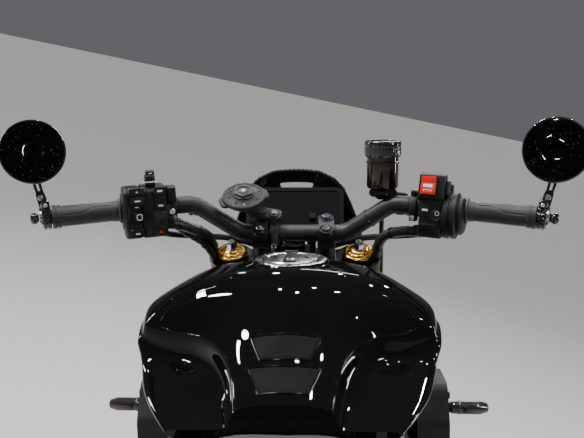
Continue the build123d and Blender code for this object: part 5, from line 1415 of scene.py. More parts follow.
# Radiator: finned tubes on both faces, side seams, cap, hoses to the engine
RADIATOR = axes((0, 420, 597), (0, -0.145, 0.989))
FIN_ROWS, FINS, FIN_PITCH = 22, 66, 9.45
radiator = Form()
for face in (-1, 1):
    for k in range(FIN_ROWS + 1):
        radiator.add(brick((266, 3.0, 2.0)), RADIATOR @ at(0, face * 14.8, -104 + k * FIN_PITCH))
    for k in range(FIN_ROWS):
        for i in range(FINS):
            lean = turned(10.4 if i % 2 else -10.4, "Y")
            fin_place = RADIATOR @ at(-130 + i * 4, face * 14.2, -99.3 + k * FIN_PITCH) @ lean
            radiator.add(brick((0.5, 2.0, 7.6)), fin_place, 1)
    for z in (-113, 113):
        radiator.add(brick((270, 5, 6)), RADIATOR @ at(0, face * 14, z))
RADIATOR_CAP = [(0, 2), (17.4, 2), (18.3, 3), (18.3, 10), (17, 11.6), (0, 11.8)]
radiator.turn(RADIATOR @ at(118, 0, 124), 2, 64, RADIATOR_CAP, notched(8, 1.0, 18, 0.5))
for side in (-1, 1):
    radiator.bolts([((side * 120, 388, 709), (0, 0.3, 1))], 8, 6, 3, hex_bolt)
    for z in (-96, 96):
        radiator.block(RADIATOR @ at(side * 159, 0, z), 0, (4, 24, 12), 0.8, 3)
RADIATOR_PAINTS = "radiator_black cap_dark bright_steel black_bolt"
make("radiator_core", radiator, "chassis", RADIATOR_PAINTS)
HOSES = [
    [(-146, 402, 700), (-146, 372, 716), (-128, 330, 716), (-110, 300, 690), (-104, 292, 668)],
    [(146, 396, 492), (146, 366, 470), (128, 356, 452), (112, 346, 430)],
]
HOSE_R = 15
hoses = Form()
for route in HOSES:
    line = spline_points(route)
    hoses.pipe(line, HOSE_R, 24)
    for end, after in ((line[2], line[3]), (line[-3], line[-4])):
        clip = axes(end, after - end)
        hoses.band(clip, 1, 40, HOSE_R + 0.2, HOSE_R + 1.8, -5, 5)
        hoses.block(clip @ at(HOSE_R + 3, 0, 0), 1, (12, 8, 9), 0.8, 1.5)
make("coolant_hoses", hoses, "chassis", "cable_rubber bright_steel")

# Shrouds: raised outer panel with bolts and louvres
SHROUD = [(470, 640), (458, 728), (392, 778), (300, 784), (262, 730), (270, 620), (330, 560), (440, 566)]
SHROUD_MIDDLE = (368.0, 672.0)
shroud_trim = Form()
for side in (-1, 1):
    view = side_view(246.0, side)
    shroud_trim.plate(view, 0, scaled(SHROUD, SHROUD_MIDDLE, 0.86), 24, 6, -0.5, 2.6, 1.6, 3)
    for k in range(4):
        low, end = 610 + 26 * k, 404 - 8 * k
        louvre = [(300, low), (end, low + 18), (end, low + 26), (300, low + 8)]
        shroud_trim.plate(view, 1, louvre, 3.4, 3, 2.2, 6.4, 2.0, 3)
    shroud_trim.bolts(outward(side, 248.4, scaled(SHROUD[1::2], SHROUD_MIDDLE, 0.78)), 6.0, 3.6, 2)
make("shroud_panels", shroud_trim, "chassis", "satin_black moulded_black black_bolt")

# Exhaust: flanges with studs, heat shield over the link pipe, weld beads, silencer sleeve and end cap
MUFFLER_START, MUFFLER_END = Vector((182, -150, 262)), Vector((214, -520, 372))
FLANGE_OUTLINE = [(-33, -9), (-18, -24), (18, -24), (33, -9), (33, 9), (18, 24), (-18, 24), (-33, 9)]
exhaust = Form()
for x in CYLINDERS:
    facing = BARREL @ at(x, 98, 140) @ turned(-90, "X")
    exhaust.plate(facing, 0, FLANGE_OUTLINE, 6, 4, 1.0, 9.0, 1.2)
    exhaust.hoop(facing, 1, 48, [(19, 8.5), (24, 8.5), (24, 11), (22.5, 12.5), (19, 12.5)])
    for side in (-1, 1):
        exhaust.pipe([(side * 27, 0, 8), (side * 27, 0, 20)], 3.6, 12, 1, facing)
        exhaust.add(hex_bolt(7.5, 6.5), facing @ at(side * 27, 0, 9), 1)
muffler = axes(MUFFLER_START, MUFFLER_END - MUFFLER_START)
long = (MUFFLER_END - MUFFLER_START).length
for reach, r in ((2, 30.5), (41, 52.2), (long - 36, 52.2)):
    weld = [(r - 1, -2.4), (r + 0.6, -1.6), (r + 1.4, 0), (r + 0.6, 1.6), (r - 1, 2.4)]
    exhaust.hoop(muffler @ at(0, 0, reach), 1, 72, weld)
exhaust.band(muffler, 2, 72, 52.1, 54.4, 150, 176)
strap_place = muffler @ turned(150)
exhaust.block(strap_place @ at(60, 0, 163), 2, (16, 16, 24), 1.5, 3)
exhaust.bolts([((60, 9, 163), (0, 1, 0))], 5, 5, 3, place=strap_place)
TAIL_PIPE = [(22, long - 58), (24.2, long - 58), (24.2, long + 3), (27, long + 5), (26, long + 6.6),
             (22, long + 4)]
exhaust.hoop(muffler, 1, 56, TAIL_PIPE)
END_CAP = [(44.2, long - 1), (44.4, long + 1.2), (34, long + 2.6), (24.6, long + 1.4), (24.6, long - 1)]
exhaust.hoop(muffler, 2, 72, END_CAP)
exhaust.bolts([((u, v, long + 1.6), UP) for u, v in around(6, 38)], 3.4, 2.4, 3, place=muffler)
shield = muffler @ turned(-30)
shield_turns = [radians(-42 + 84 * k / 16) for k in range(17)]
sections = []
for reach, r in ((60, 53.4), (66, 56.4), (140, 57.4)):
    inner = [((r - 2.2) * cos(a), (r - 2.2) * sin(a), reach) for a in reversed(shield_turns)]
    sections.append([(r * cos(a), r * sin(a), reach) for a in shield_turns] + inner)
exhaust.add(rings(sections), shield, 2)
exhaust.bolts([((57.6, 0, 128), (1, 0, 0)), ((56.8, 0, 76), (1, 0, 0))], 5, 3, 3, place=shield)
EXHAUST_PAINTS = "dark_steel header_steel silencer_metal black_bolt"
make("exhaust_fittings", exhaust, "chassis", EXHAUST_PAINTS)

# Rear shock: damper body, bright shaft, coil spring, collars
SHOCK = axes((0, -160, 452), (0, 62, 162))
LOWER_SEAT = [(0, 0), (14, 0), (14, 14), (34, 16), (35, 17), (35, 22), (32, 24), (26, 25), (8, 26), (8, 30),
              (0, 30)]
PRELOAD_RINGS = [(21, 118), (34.5, 118), (34.5, 124), (24, 126), (24, 127), (34.5, 127), (34.5, 133),
                 (21, 134)]
COIL_TURNS, COIL_LOW, COIL_HIGH, COIL_STEPS = 6.2, 26.5, 114.5, 260
helix = []
for k in range(COIL_STEPS + 1):
    share = k / COIL_STEPS
    angle = 2 * pi * COIL_TURNS * share
    helix.append((28.6 * cos(angle), 28.6 * sin(angle), COIL_LOW + (COIL_HIGH - COIL_LOW) * share))
shock = Form()
shock.turn(SHOCK, 0, 64, LOWER_SEAT)
shock.disc(SHOCK, 1, 32, 8, 24, 80)
shock.turn(SHOCK, 0, 48, [(0, 62), (21, 62), (22, 63), (22, 128), (0, 128)])
shock.hoop(SHOCK, 2, 96, PRELOAD_RINGS, notched(6, 1.4, 33, 0.4))
shock.turn(SHOCK, 0, 48, [(0, 128), (17, 128), (17, 160), (12, 168), (12, 171), (0, 171)])
shock.pipe(helix, 4.3, 14, 3, SHOCK)
shock_paints = "anodised_black hard_chrome cap_dark spring_paint"
make("shock_spring", shock, "chassis", shock_paints, ["rear_shock"])

# Frame and swingarm: bolt heads, slider, chain guard, axle blocks, peg rubbers, levers
STEEL_PART, BOLT_PART, MOULDED_PART, RUBBER_PART = range(4)
chassis_trim = Form()
for side in (-1, 1):
    for y, z, r in ((-88, 486, 12), (-90, 308, 12), (-100, 628, 13)):
        chassis_trim.add(hex_bolt(r, 9), across(y, z, 133.1, side), BOLT_PART)
    chassis_trim.add(hex_bolt(16, 9), across(-95, 395, 140.1, side), STEEL_PART)
    washer = [(12.6, 138.5), (23, 138.5), (24, 139.5), (24, 140.4), (12.6, 140.4)]
    chassis_trim.hoop(across(-95, 395, 0, side), MOULDED_PART, 48, washer)
    chassis_trim.bolts(outward(side, 143.1, [(-96, 508), (-250, 428), (-196, 388)]), 8, 6, BOLT_PART)
    chassis_trim.block(at(side * 153, -744, REAR_AXLE.z), MOULDED_PART, (7, 60, 30), 1.2, 3)
    chassis_trim.pipe([(side * 153, y, REAR_AXLE.z) for y in (-772, -792)], 4, 12, BOLT_PART)
    chassis_trim.add(hex_bolt(8, 6), axes((side * 153, -774, REAR_AXLE.z), (0, -1, 0)), BOLT_PART)
    for k in range(7):
        chassis_trim.block(at(side * (176 + 12 * k), -214, 422.6), RUBBER_PART, (5.5, 32.5, 3.4), 0.8, 1.2)
    peg_end = [(0, 0), (8, 0), (9, 2), (9, 6), (7, 9), (0, 9)]
    chassis_trim.turn(axes((side * 256, -214, 412), (side, 0, 0)), BOLT_PART, 32, peg_end)
    peg_spring = [(side * 150, -200, 400), (side * 158, -208, 396), (side * 168, -214, 399)]
    chassis_trim.pipe(peg_spring, 3.2, 12, BOLT_PART)
for place, size, edge, corner, tilt in (
    ((-103, -205, 415.5), (28, 150, 5), 1.5, 6, -4),
    ((-108, -560, 470), (42, 250, 3), 1.2, 10, 3),
    ((-128.5, -560, 454), (3, 250, 34), 1.2, 8, 3),
):
    chassis_trim.block(at(*place) @ turned(tilt, "X"), MOULDED_PART, size, edge, corner)
chassis_trim.pipe([(-128, -470, 448), (-122, -466, 392), (-124, -468, 356)], 5, 14, MOULDED_PART)
chassis_trim.pipe([(-128, -640, 440), (-134, -646, 392), (-136, -652, 350)], 5, 14, MOULDED_PART)
CHASSIS_PAINTS = "dark_steel black_bolt moulded_black cable_rubber"
make("chassis_fittings", chassis_trim, "chassis", CHASSIS_PAINTS)

# Seat: foam pad swollen under its cover, with sewn channels and a stitched seam along each side
SEAT = [
    # y, half width, bottom z, side z, top z
    (21, 98, 790, 812, 828),
    (-40, 104, 786, 804, 822),
    (-140, 126, 786, 802, 818),
    (-250, 132, 800, 818, 834),
    (-322, 124, 816, 836, 850),
]
SEAT_FRONT, SEAT_LENGTH, SEAT_SECTIONS = 19, 339, 40
PAD_SHRINK, SWELL_LIMIT = 4, 0.006
CHANNELS = (-96, -136, -176, -216, -256)
SEAM_SHARE = 0.80


def seat_row(y):
    """Half width, bottom, side and top of the seat at any y."""
    return [between([(-row[0], row[c]) for row in SEAT], -y) for c in range(1, 5)]


def seat_section(y):
    half, bottom, side, top = seat_row(y)
    half -= PAD_SHRINK
    points = [(-half + 8, y, bottom), (half - 8, y, bottom)]
    for k in range(29):
        a = pi * k / 28
        x = half * (abs(cos(a)) ** 0.55) * (1 if a < pi / 2 else -1)
        points.append((x, y, side - PAD_SHRINK * 0.4 + (top - side) * sin(a) ** 0.6))
    return points


def swollen(piece, cap, voxel=0.005, pressure=4.0):
    """Remeshes the piece, blows it up as cloth for a moment, and limits how far each point may go."""

    def shown():
        return bpy.data.meshes.new_from_object(piece.evaluated_get(bpy.context.evaluated_depsgraph_get()))

    remesh = piece.modifiers.new("remesh", "REMESH")
    remesh.mode = "VOXEL"
    remesh.voxel_size = voxel
    remesh.use_smooth_shade = True
    rest = shown()
    paints = list(piece.data.materials)
    piece.modifiers.remove(remesh)
    piece.data = rest
    places = [v.co.copy() for v in rest.vertices]
    cloth = piece.modifiers.new("cloth", "CLOTH")
    cloth.settings.quality = 5
    cloth.settings.use_pressure = True
    cloth.settings.uniform_pressure_force = pressure
    cloth.settings.effector_weights.gravity = 0
    for step in range(1, 21):
        bpy.context.scene.frame_set(step)
    blown = shown()
    piece.modifiers.remove(cloth)
    bpy.context.scene.frame_set(1)
    for vertex, place in zip(blown.vertices, places):
        move = vertex.co - place
        if move.length > cap:
            vertex.co = place + move.normalized() * cap
    piece.data = blown
    finer = piece.modifiers.new("finer", "SUBSURF")
    finer.levels = 1
    finer.render_levels = 1
    smooth = shown()
    piece.modifiers.remove(finer)
    piece.data = smooth
    smooth.materials.clear()
    for paint in paints:
        smooth.materials.append(paint)
    smooth.polygons.foreach_set("use_smooth", [True] * len(smooth.polygons))


seat = Form()
seat_keys = [SEAT_FRONT - SEAT_LENGTH * k / SEAT_SECTIONS for k in range(SEAT_SECTIONS + 1)]
seat.add(rings([seat_section(y) for y in seat_keys]))
seat_piece = make("seat_cover_stitched", seat, "chassis", "seat_cover", ["seat"])
swollen(seat_piece, SWELL_LIMIT)
to_upright = PARKED.inverted()
for vertex in seat_piece.data.vertices:
    p = to_upright @ vertex.co
    half, bottom, side, top = seat_row(p.y)
    if p.z < side - 2:
        continue
    seam = SEAM_SHARE * half
    near = min([abs(p.y - y) for y in CHANNELS]) if abs(p.x) < seam else 99.0
    near = min(near, abs(abs(p.x) - seam) * 1.2)
    p.z -= 3.2 * max(0.0, 1 - near / 6.5) ** 1.5
    vertex.co = PARKED @ p

seat_points = [to_upright @ v.co for v in seat_piece.data.vertices]
seat_tree = BVHTree.FromPolygons(seat_points, [tuple(f.vertices) for f in seat_piece.data.polygons])


def on_seat(x, y):
    hit = seat_tree.ray_cast(Vector((x, y, 950)), Vector((0, 0, -1)))
    return hit[0] if hit[0] else Vector((x, y, seat_row(y)[3]))


STITCH, STITCH_PITCH = 4, 6.5
stitch_shape = lathe([(0, -2.2), (0.7, -1.8), (0.8, 0), (0.7, 1.8), (0, 2.2)], 8)
thread = Form()
for side in (-1, 1):
    for share in (SEAM_SHARE - 0.035, SEAM_SHARE + 0.035):
        y = 10.0
        while y > -314:
            a, b = (on_seat(side * share * seat_row(end)[0], end) for end in (y, y - STITCH))
            thread.add(stitch_shape, axes((a + b) / 2 + Vector((0, 0, 0.3)), b - a))
            y -= STITCH_PITCH
make("seat_stitches", thread, "chassis", "seat_thread")

# Tail: lamp bezel with its row of lights, plate with two bolts, plate lamp, round reflector
tail = Form()
lamp_place = axes((0, -543.2, 864), (0, -1, 0))
tail.plate(lamp_place, 0, rectangle(102, 26), 9, 6, -10, -0.6, 1.5)
lamp_dot = [(0, 0.9), (3.4, 0.9), (3.8, 0.3), (3.8, -0.4), (0, -0.4)]
for k in range(9):
    tail.turn(lamp_place @ at(-40 + 10 * k, 0, 0), 1, 20, lamp_dot)
plate = axes((0, -659, 745.4), (0, -0.969, 0.247))
tail.plate(plate, 2, rectangle(172, 112), 7, 5, 2.05, 3.4, 0.5)
tail.add(frame_ring(172, 112, 3.2, 1.2, 7), plate @ at(0, 0, 3.0), 0)
tail.bolts([((x, 34, 3.2), UP) for x in (-42, 42)], 5.5, 3, 3, place=plate)
tail.block(plate @ at(0, 72, 6), 0, (60, 22, 16), 2, 5)
tail.block(plate @ at(0, 63, 9), 4, (40, 8, 4), 0.8, 2)
tail.turn(plate @ at(0, -74, 1), 1, 40, [(0, 0), (17, 0), (17, 2.6), (15.6, 3.6), (0, 3.8)])
tail.hoop(plate @ at(0, -74, 1), 0, 40, [(17, -1), (19.4, -1), (19.4, 2.6), (17.4, 3.4)])
tail.block(plate @ at(0, -60, -1), 0, (9, 26, 4), 0.8, 2)
TAIL_PAINTS = "moulded_black red_lens blank_plate bright_steel white_print"
make("tail_fittings", tail, "chassis", TAIL_PAINTS)

# Turn signals: ribbed rubber stalks, a seam and a smoked window at each face
signals = Form()
window_turns = [radians(-46 + 92 * k / 8) for k in range(9)]
for root, y, z, start, tip in ((246, 450, 684, 268, 344), (20, -566, 816, 62, 136)):
    window = ((11.6, start + 27), (12.5, start + 28.5), (12.5, tip - 18), (11.6, tip - 16.5))
    seam = [(11.8, start + 21), (12.7, start + 21.6), (12.7, start + 23.4), (11.8, start + 24)]
    for side in (-1, 1):
        stalk = sided(side) @ across(y, z)
        for k in range(4):
            x = root + 4 + (start - root - 8) * k / 3
            signals.hoop(stalk, 0, 32, [(6.0, x - 2.2), (7.8, x - 1.4), (7.8, x + 1.4), (6.0, x + 2.2)])
        signals.hoop(stalk, 1, 48, seam)
        for face in (-1, 1):
            sections = [[(r * cos(a) * face, r * sin(a), x) for r, x in window] for a in window_turns]
            signals.add(rings(sections), stalk, 2)
make("signal_lenses", signals, "chassis", "moulded_black dark_steel smoked_lens")

# Side panels: raised inner field, slots and screws
PANEL = [(-40, 748), (-56, 776), (-250, 792), (-290, 776), (-200, 632), (-140, 596), (-52, 620)]
panels = Form()
for side in (-1, 1):
    view = side_view(156.0, side)
    panels.plate(view, 0, scaled(PANEL, (-136, 704), 0.84), 16, 5, -0.4, 2.2, 1.3, 3)
    for k in range(5):
        low, end = 656 + 20 * k, -176 + 3 * k
        slot = [(end, low), (-84, low + 5), (-84, low + 11), (end, low + 6)]
        panels.plate(view, 1, slot, 2.6, 3, 1.8, 4.4, 1.2)
    panels.bolts(outward(side, 156.1, [(-66, 640), (-66, 752), (-250, 776)]), 6, 3, 2)
make("side_panel_trim", panels, "chassis", "satin_black moulded_black black_bolt")

# Tail cowl: edge seam and its screws
COWL_SEAM = [(127.4, -326, 834), (121.8, -380, 842), (104, -450, 853), (78, -520, 861)]
cowl = Form()
for side in (-1, 1):
    cowl.pipe(spline_points([(side * x, y, z) for x, y, z in COWL_SEAM]), 1.6, 12)
    screws = [((side * 118, -396, 836), (side, -0.25, 0.1)), ((side * 92, -482, 848), (side, -0.4, 0.1))]
    cowl.bolts(screws, 5, 3, 1)
make("tail_seams", cowl, "chassis", "moulded_black bright_steel")

# Filler lid: turned rim, satin panels either side of a dark key flap
LID_RIM = [(0, 987.2), (40, 987.2), (41, 988), (41, 994.2), (40, 995.2), (37.2, 995.6), (35.6, 994.2),
           (0, 994.2)]
LID_LEAF = [(11, -33), (22, -27), (31, -15), (34.5, 0), (31, 15), (22, 27), (11, 33)]
KEY_FLAP = [(-9, -30), (9, -30), (10, -4), (7.5, 30), (-7.5, 30), (-10, -4)]
LID_SCREW = [(0, 995.2), (3.2, 995.2), (3.2, 996.2), (1.6, 996.3), (1.5, 995.5), (0, 995.5)]
lid_place = at(FILLER.x, FILLER.y, 0)
lid = Form()
lid.turn(lid_place, 0, 112, LID_RIM)
for side in (-1, 1):
    lid.plate(lid_place, 1, [(side * x, y) for x, y in LID_LEAF], 2.5, 3, 994.0, 995.3, 0.5)
    lid.turn(lid_place @ at(side * 24, 0, 0), 2, 20, LID_SCREW)
lid.plate(lid_place, 2, KEY_FLAP, 5, 4, 994.0, 996.8, 1.0, 3)
lid.disc(lid_place @ at(0, -18, 0), 0, 32, 6.4, 996.6, 997.8, 0.8, 0.4)
lid.block(lid_place @ at(0, -18, 997.9), 3, (1.6, 7, 0.8), 0.1, 0.5)
lid.disc(across(304, 996.4), 2, 20, 2.8, -10, 10)
lid.block(at(0, 299, 995.4), 2, (16, 14, 3), 0.6, 1.5)
LID_PAINTS = "cap_silver cap_dark black_bolt gloss_plastic"
make("filler_cap", lid, "filler_lid", LID_PAINTS, ["filler_lid"])

# Headlight: rim, reflector, projector and light ring inside the lens; brackets' bolts
LAMP_RIM = [(77.6, 19.6), (88.4, 15), (89.4, 18), (88, 22.6), (82, 25), (78.8, 23.4), (78.2, 21)]
LAMP_BOWL = [(0, 20.3), (75, 20.3), (70, 22.6), (52, 21.6), (34, 20.9), (30, 21.4), (0, 21.4)]
PROJECTOR = [(0, 31.5), (12, 30.4), (21, 26.6), (26, 21.6), (28, 21.2), (28, 20.6), (0, 20.6)]
LAMP_STRAP = [(588, 862), (588, 906), (478, 928), (478, 866)]
lamp = axes((0, 590, 884), (0, 1, 0))
light = Form()
light.hoop(lamp, 0, 112, LAMP_RIM)
light.turn(lamp, 1, 96, LAMP_BOWL)
light.turn(lamp, 2, 64, PROJECTOR)
light.hoop(lamp, 3, 96, [(60, 22.2), (66, 22.8), (66, 24.6), (60, 25.4)])
light.add(brick((120, 2.4, 3)), lamp @ at(0, 0, 22.5), 0)
rim_spots = [((83.5 * cos(a), 83.5 * sin(a), 24.4), UP) for a in (0.3, pi - 0.3, pi + 0.6, 2 * pi - 0.6)]
light.bolts(rim_spots, 3.2, 2, 4, place=lamp)
for side in (-1, 1):
    light.plate(side_view(side * 104.0), 0, LAMP_STRAP, 5, 4, -4.6, 4.6, 1.0)
    light.bolts(outward(side, 108.2, [(572, 886), (510, 902)]), 7, 5, 4)
LIGHT_PAINTS = "satin_black lamp_reflector screen_glass white_print black_bolt"
make("headlight_parts", light, "steering", LIGHT_PAINTS)

# Flyscreen: serrated bead round its edge, lip round the hand slot, screws with rubber washers
SCREEN = axes((0, 492, 1107), (0, -cos(radians(33)), -sin(radians(33))))
SCREEN_BEND = 175.0
SCREEN_OUTLINE = [(40, 0), (66, -9), (82, -24), (95, -52), (114, -104), (117, -132), (96, -152)]
SLOT_OUTLINE = [(-33, -24), (33, -24), (29, -43), (-29, -43)]


def on_screen(x, y, depth=1.75):
    return x, y, SCREEN_BEND - (SCREEN_BEND**2 - x * x) ** 0.5 + depth


screen = Form()
edge = rounded([*SCREEN_OUTLINE, *[(-w, h) for w, h in reversed(SCREEN_OUTLINE)]], 7, True, 5)
bead = [on_screen(p.x, p.y) for p in dense(edge, 1.9)]
bead_radii = [3.5 if (i // 2) % 2 and p[1] > -30 else 2.7 for i, p in enumerate(bead)]
screen.pipe(bead, bead_radii, 10, 0, SCREEN, True)
slot_edge = [on_screen(p.x, p.y) for p in dense(rounded(SLOT_OUTLINE, 5, True, 5), 2.5)]
screen.pipe(slot_edge, 2.4, 10, 0, SCREEN, True)
for side in (-1, 1):
    for x, y in ((64, -62), (78, -118)):
        for depth, turn, height in ((3.4, 0, 2.4), (0.1, 180, 2.2)):
            place = SCREEN @ at(*on_screen(side * x, y, depth)) @ turned(turn - side * x * 0.36, "Y")
            screen.disc(place, 0, 32, 8, 0, height, 1.4, 0.8)
            screen.add(socket_bolt(5.2, 3), place @ at(0, 0, height - 0.2), 1)
make("flyscreen_trim", screen, "steering", "moulded_black black_bolt")

# Fork: dark feet under the chrome sliders, dust seals, clamp rings, axle ends, calipers, mudguard stays
FOOT_TOP = 186
sliders = NODES["fork_sliders"]
sliders.data.materials.append(PAINT["anodised_black"])
to_steering = (PARKED @ STEER).inverted() @ sliders.matrix_world
for face in sliders.data.polygons:
    if (to_steering @ face.center).z < FOOT_TOP:
        face.material_index = 1
DUST_SEAL = [(21.6, 419), (27.5, 419), (29, 421), (29, 424.9), (21.6, 424.9)]
FORK_CLAMP = [(21.6, 282), (26, 282), (27, 283), (27, 317), (26, 318), (21.6, 318)]
AXLE_END = [(8.4, 0), (16.4, 0), (16.4, 1.6), (15, 2.6), (9, 2.6), (8.4, 1.4)]
fork = Form()
for side in (-1, 1):
    leg = STEER @ at(side * FORK_HALF, FORK_OFFSET, 0)
    fork.hoop(leg, 0, 64, DUST_SEAL)
    fork.hoop(leg, 1, 64, [(29.1, 430), (29.8, 430.6), (29.8, 432.4), (29.1, 433)])
    fork.hoop(leg, 1, 64, [(27.1, 500), (28, 500.6), (28, 503.4), (27.1, 504)])
    hub = sided(side) @ across(FRONT_AXLE.y, FRONT_AXLE.z, FORK_HALF)
    for s in (-14, 10):
        fork.add(hex_bolt(6.5, 6), hub @ turned(-25) @ at(-27, s, 12) @ turned(-90, "Y"), 2)
    foot_plug = sided(side) @ STEER @ at(FORK_HALF, FORK_OFFSET, 4)
    fork.turn(foot_plug, 2, 32, [(0, -7), (12, -7), (13, -6), (13, 0), (0, 0)])
    caliper = sided(side) @ across(FRONT_AXLE.y, FRONT_AXLE.z, 74) @ turned(58)
    for x in (-26, 26):
        for z in (29, -29):
            piston = [(0, 0), (19, 0), (19, 1.8), (17.6, 3), (12, 3), (11, 2), (0, 2)]
            fork.turn(caliper @ at(x, 128, z) @ flipped(z), 3, 44, piston)
    for x in (-47, 0, 47):
        fork.pipe([(x, 170, -30), (x, 170, 30)], 4.2, 16, 2, caliper)
        fork.bolts([((x, 170, 29), UP), ((x, 170, -29), (0, 0, -1))], 6.4, 6, 2, place=caliper)
    fork.pipe([(-38, 177, 12), (-38, 190, 12)], [4, 3], 14, 1, caliper)
    fork.block(caliper @ at(0, 177, 0), 3, (88, 12, 16), 2, 4)
    for s in (288, 312):
        fork.add(hex_bolt(6.5, 6), sided(side) @ STEER @ at(84, 30, s) @ turned(-90, "X"), 2)
    fork.hoop(hub @ at(0, 0, 31.8), 1, 40, AXLE_END)
    fork.hoop(leg, 3, 56, FORK_CLAMP)
    fork.block(STEER @ at(side * 76, 28, 300), 3, (24, 30, 40), 2, 4)
make("fork_fittings", fork, "steering", "cable_rubber bright_steel black_bolt anodised_black")

# Rear brake: piston caps and bolts on the caliper, and its hose along the swingarm
REAR_HOSE = [(122, -690, 452), (132, -640, 470), (150, -540, 420), (156, -380, 408), (150, -230, 420),
             (146, -160, 424)]
rear_brake = Form()
caliper = across(REAR_AXLE.y, REAR_AXLE.z, 108) @ turned(-26)
for x in (-16, 16):
    for up in (1, -1):
        piston = [(0, 0), (14, 0), (14, 1.8), (12.8, 3), (8, 3), (7.4, 2), (0, 2)]
        rear_brake.turn(caliper @ at(x, 102, 23 * up) @ flipped(up), 0, 36, piston)
rear_brake.bolts([((x, 134, 22.9), UP) for x in (-30, 30)], 6, 6, 1, place=caliper)
rear_brake.pipe(spline_points(REAR_HOSE), 3.6, 12, 2)
make("rear_brake_fittings", rear_brake, "chassis", "anodised_black black_bolt cable_rubber")

# Looms in tape from each switch to the lamp bracket, a tie on the bar, a rubber boot over the clutch cable
LOOMS = [
    ([(-214, 340, 1036), (-188, 352, 1034), (-168, 368, 1022), (-146, 394, 1008), (-140, 412, 985),
      (-138, 436, 935), (-124, 468, 900), (-104, 490, 890)], 9.0),
    ([(-196, 362, 1030), (-172, 380, 1008), (-146, 392, 990), (-128, 430, 930), (-112, 470, 900),
      (-104, 492, 896)], 5.5),
    ([(214, 338, 1028), (204, 352, 1021), (173, 372, 1018), (148, 398, 1006), (138, 414, 980),
      (136, 438, 930), (124, 470, 896), (104, 490, 890)], 8.5),
]
CLUTCH_BOOT = [(-176, 396, 1048), (-160, 404, 1046), (-142, 410, 1038), (-126, 424, 1016)]
looms = Form()
for route, r in LOOMS:
    line = spline_points(route)
    looms.pipe(line, [r * (1 + 0.05 * sin(2.1 * i)) for i in range(len(line))], 24)
    for share in (0.12, 0.34, 0.58, 0.8):
        i = int(share * (len(line) - 1))
        tape_end = [(r - 0.5, -2.2), (r + 1.3, -2), (r + 1.3, 2), (r - 0.5, 2.2)]
        looms.hoop(axes(line[i], line[i + 1] - line[i]), 1, 32, tape_end)
tie = axes((123, 361, 1041), (76, -16, 51))
looms.band(tie, 1, 40, 14.1, 15.4, -2, 2)
looms.block(tie @ at(0, -16.5, 0), 1, (7, 5, 5), 0.6, 1)
line = spline_points(CLUTCH_BOOT)
looms.pipe(line, [7.5 + 1.1 * sin(1.9 * i) - 2.2 * i / len(line) for i in range(len(line))], 20, 1)
make("taped_looms", looms, "steering", "loom_tape cable_rubber")

# Stand: pivot bolt heads, the ankle above the foot and the foot plate's ribs
FOOT_REACH, FOOT_Y, FOOT_DROP = 268, 76, 62
stand_joint = JOINTS["side_stand"]
pivot = to_upright @ Vector(stand_joint["pos_m"])
axis = to_upright.to_3x3() @ Vector(stand_joint["axis"])
stand = Form()
for side in (-1, 1):
    stand.add(hex_bolt(10, 6), axes(pivot + axis.normalized() * side * 21.8, axis * side))
make("stand_pivot_bolts", stand, "chassis", "black_bolt")
lift = FOOT_DROP * (1 - cos(LEAN))
foot_x, foot_z = -FOOT_REACH * cos(LEAN) - lift * sin(LEAN), FOOT_REACH * sin(LEAN) - lift * cos(LEAN)
foot = axes((foot_x, FOOT_Y, foot_z), (sin(LEAN), 0, cos(LEAN)))
ankle = Form()
ankle.turn(foot, 0, 40, [(0, 7), (17, 7.6), (17, 9), (13, 12), (11, 20), (10, 26), (0, 26)])
for k in range(4):
    ankle.block(foot @ turned(90) @ at(-24 + 16 * k, 0, 8.4), 0, (3, 38, 1.6), 0.4, 1)
make("stand_ankle", ankle, "side_stand", "satin_black")

# Stage: a plain pale floor, an even pale sky, a soft sun and small lamps for the highlights
FLOOR_SPAN = 180.0
floor_mesh = bpy.data.meshes.new("floor")
floor_mesh.from_pydata([(x, y, 0) for x, y in rectangle(FLOOR_SPAN, FLOOR_SPAN)], [], [(0, 1, 2, 3)])
floor_paint = bpy.data.materials.new("floor_pale")
floor_paint.use_nodes = True
floor_shader = floor_paint.node_tree.nodes["Principled BSDF"]
feed(floor_paint, floor_shader, {"Base Color": (0.62, 0.6, 0.57, 1), "Roughness": 0.6})
floor_mesh.materials.append(floor_paint)
floor = bpy.data.objects.new("floor", floor_mesh)
bpy.context.scene.collection.objects.link(floor)

world = bpy.data.worlds.new("studio")
world.use_nodes = True
feed(world, world.node_tree.nodes["Background"], {"Color": (0.74, 0.76, 0.8, 1), "Strength": 0.17})
bpy.context.scene.world = world

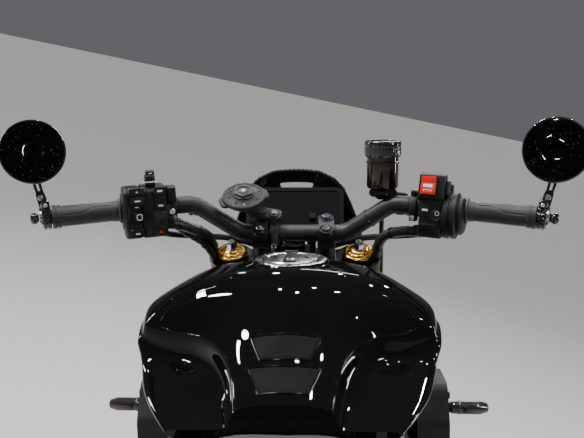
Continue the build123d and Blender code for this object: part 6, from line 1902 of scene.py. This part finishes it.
WHITE_LIGHT, WARM_LIGHT = (1.0, 1.0, 1.0), (1.0, 0.98, 0.95)
LAMPS = [
    # name, place in metres, watts, size, size along, colour
    ("key", (-2.2, 0.2, 3.2), 45, 0.22, 0.22, (1.0, 0.97, 0.93)),
    ("fill", (2.6, -1.2, 2.6), 26, 0.5, 0.12, (0.95, 0.97, 1.0)),
    ("front", (0.6, 3.4, 2.9), 40, 2.0, 0.2, WARM_LIGHT),
    ("spot_left", (-0.55, 0.9, 2.6), 8, 0.06, 0.06, WHITE_LIGHT),
    ("spot_right", (0.75, 0.9, 2.6), 8, 0.06, 0.06, WHITE_LIGHT),
    ("spot_far_left", (-1.1, 2.2, 2.8), 8, 0.07, 0.07, WARM_LIGHT),
    ("spot_far_right", (1.3, 2.4, 2.8), 8, 0.07, 0.07, WARM_LIGHT),
    ("spot_middle", (0.1, 1.7, 3.0), 6, 0.06, 0.06, WHITE_LIGHT),
    ("tail_left", (-0.7, -1.6, 2.6), 5, 0.05, 0.05, WHITE_LIGHT),
    ("tail_right", (1.2, -0.6, 2.5), 5, 0.05, 0.05, WHITE_LIGHT),
    ("ceiling_one", (-0.62, 0.16, 2.9), 4, 0.045, 0.045, WHITE_LIGHT),
    ("ceiling_two", (-0.3, 0.02, 2.9), 4, 0.045, 0.045, WHITE_LIGHT),
    ("ceiling_three", (-0.08, 0.34, 2.9), 4, 0.045, 0.045, WARM_LIGHT),
    ("ceiling_four", (0.2, 0.08, 2.9), 4, 0.045, 0.045, WHITE_LIGHT),
    ("ceiling_five", (0.5, 0.42, 2.9), 4, 0.045, 0.045, WARM_LIGHT),
    ("side_left", (-2.6, 1.2, 1.6), 16, 0.1, 1.0, (0.97, 0.98, 1.0)),
    ("side_right", (2.8, 1.0, 1.6), 16, 0.1, 1.0, (1.0, 0.98, 0.96)),
]
AIM = Vector((0.0, 0.1, 0.75))


def hang(light, direction, place=(0, 0, 0)):
    """Puts a light into the scene, shining along a direction."""
    holder = bpy.data.objects.new(light.name, light)
    holder.location = place
    holder.rotation_mode = "QUATERNION"
    holder.rotation_quaternion = direction.to_track_quat("-Z", "Y")
    bpy.context.scene.collection.objects.link(holder)


sun = bpy.data.lights.new("sun", "SUN")
sun.energy = 2.3
sun.angle = radians(6)
hang(sun, Vector((0.62, 0.1, -0.8)))
for name, place, watts, wide, along, color in LAMPS:
    lamp = bpy.data.lights.new(name, "AREA")
    lamp.shape = "RECTANGLE"
    lamp.size, lamp.size_y = wide, along
    lamp.energy = watts
    lamp.color = color
    hang(lamp, AIM - Vector(place), place)
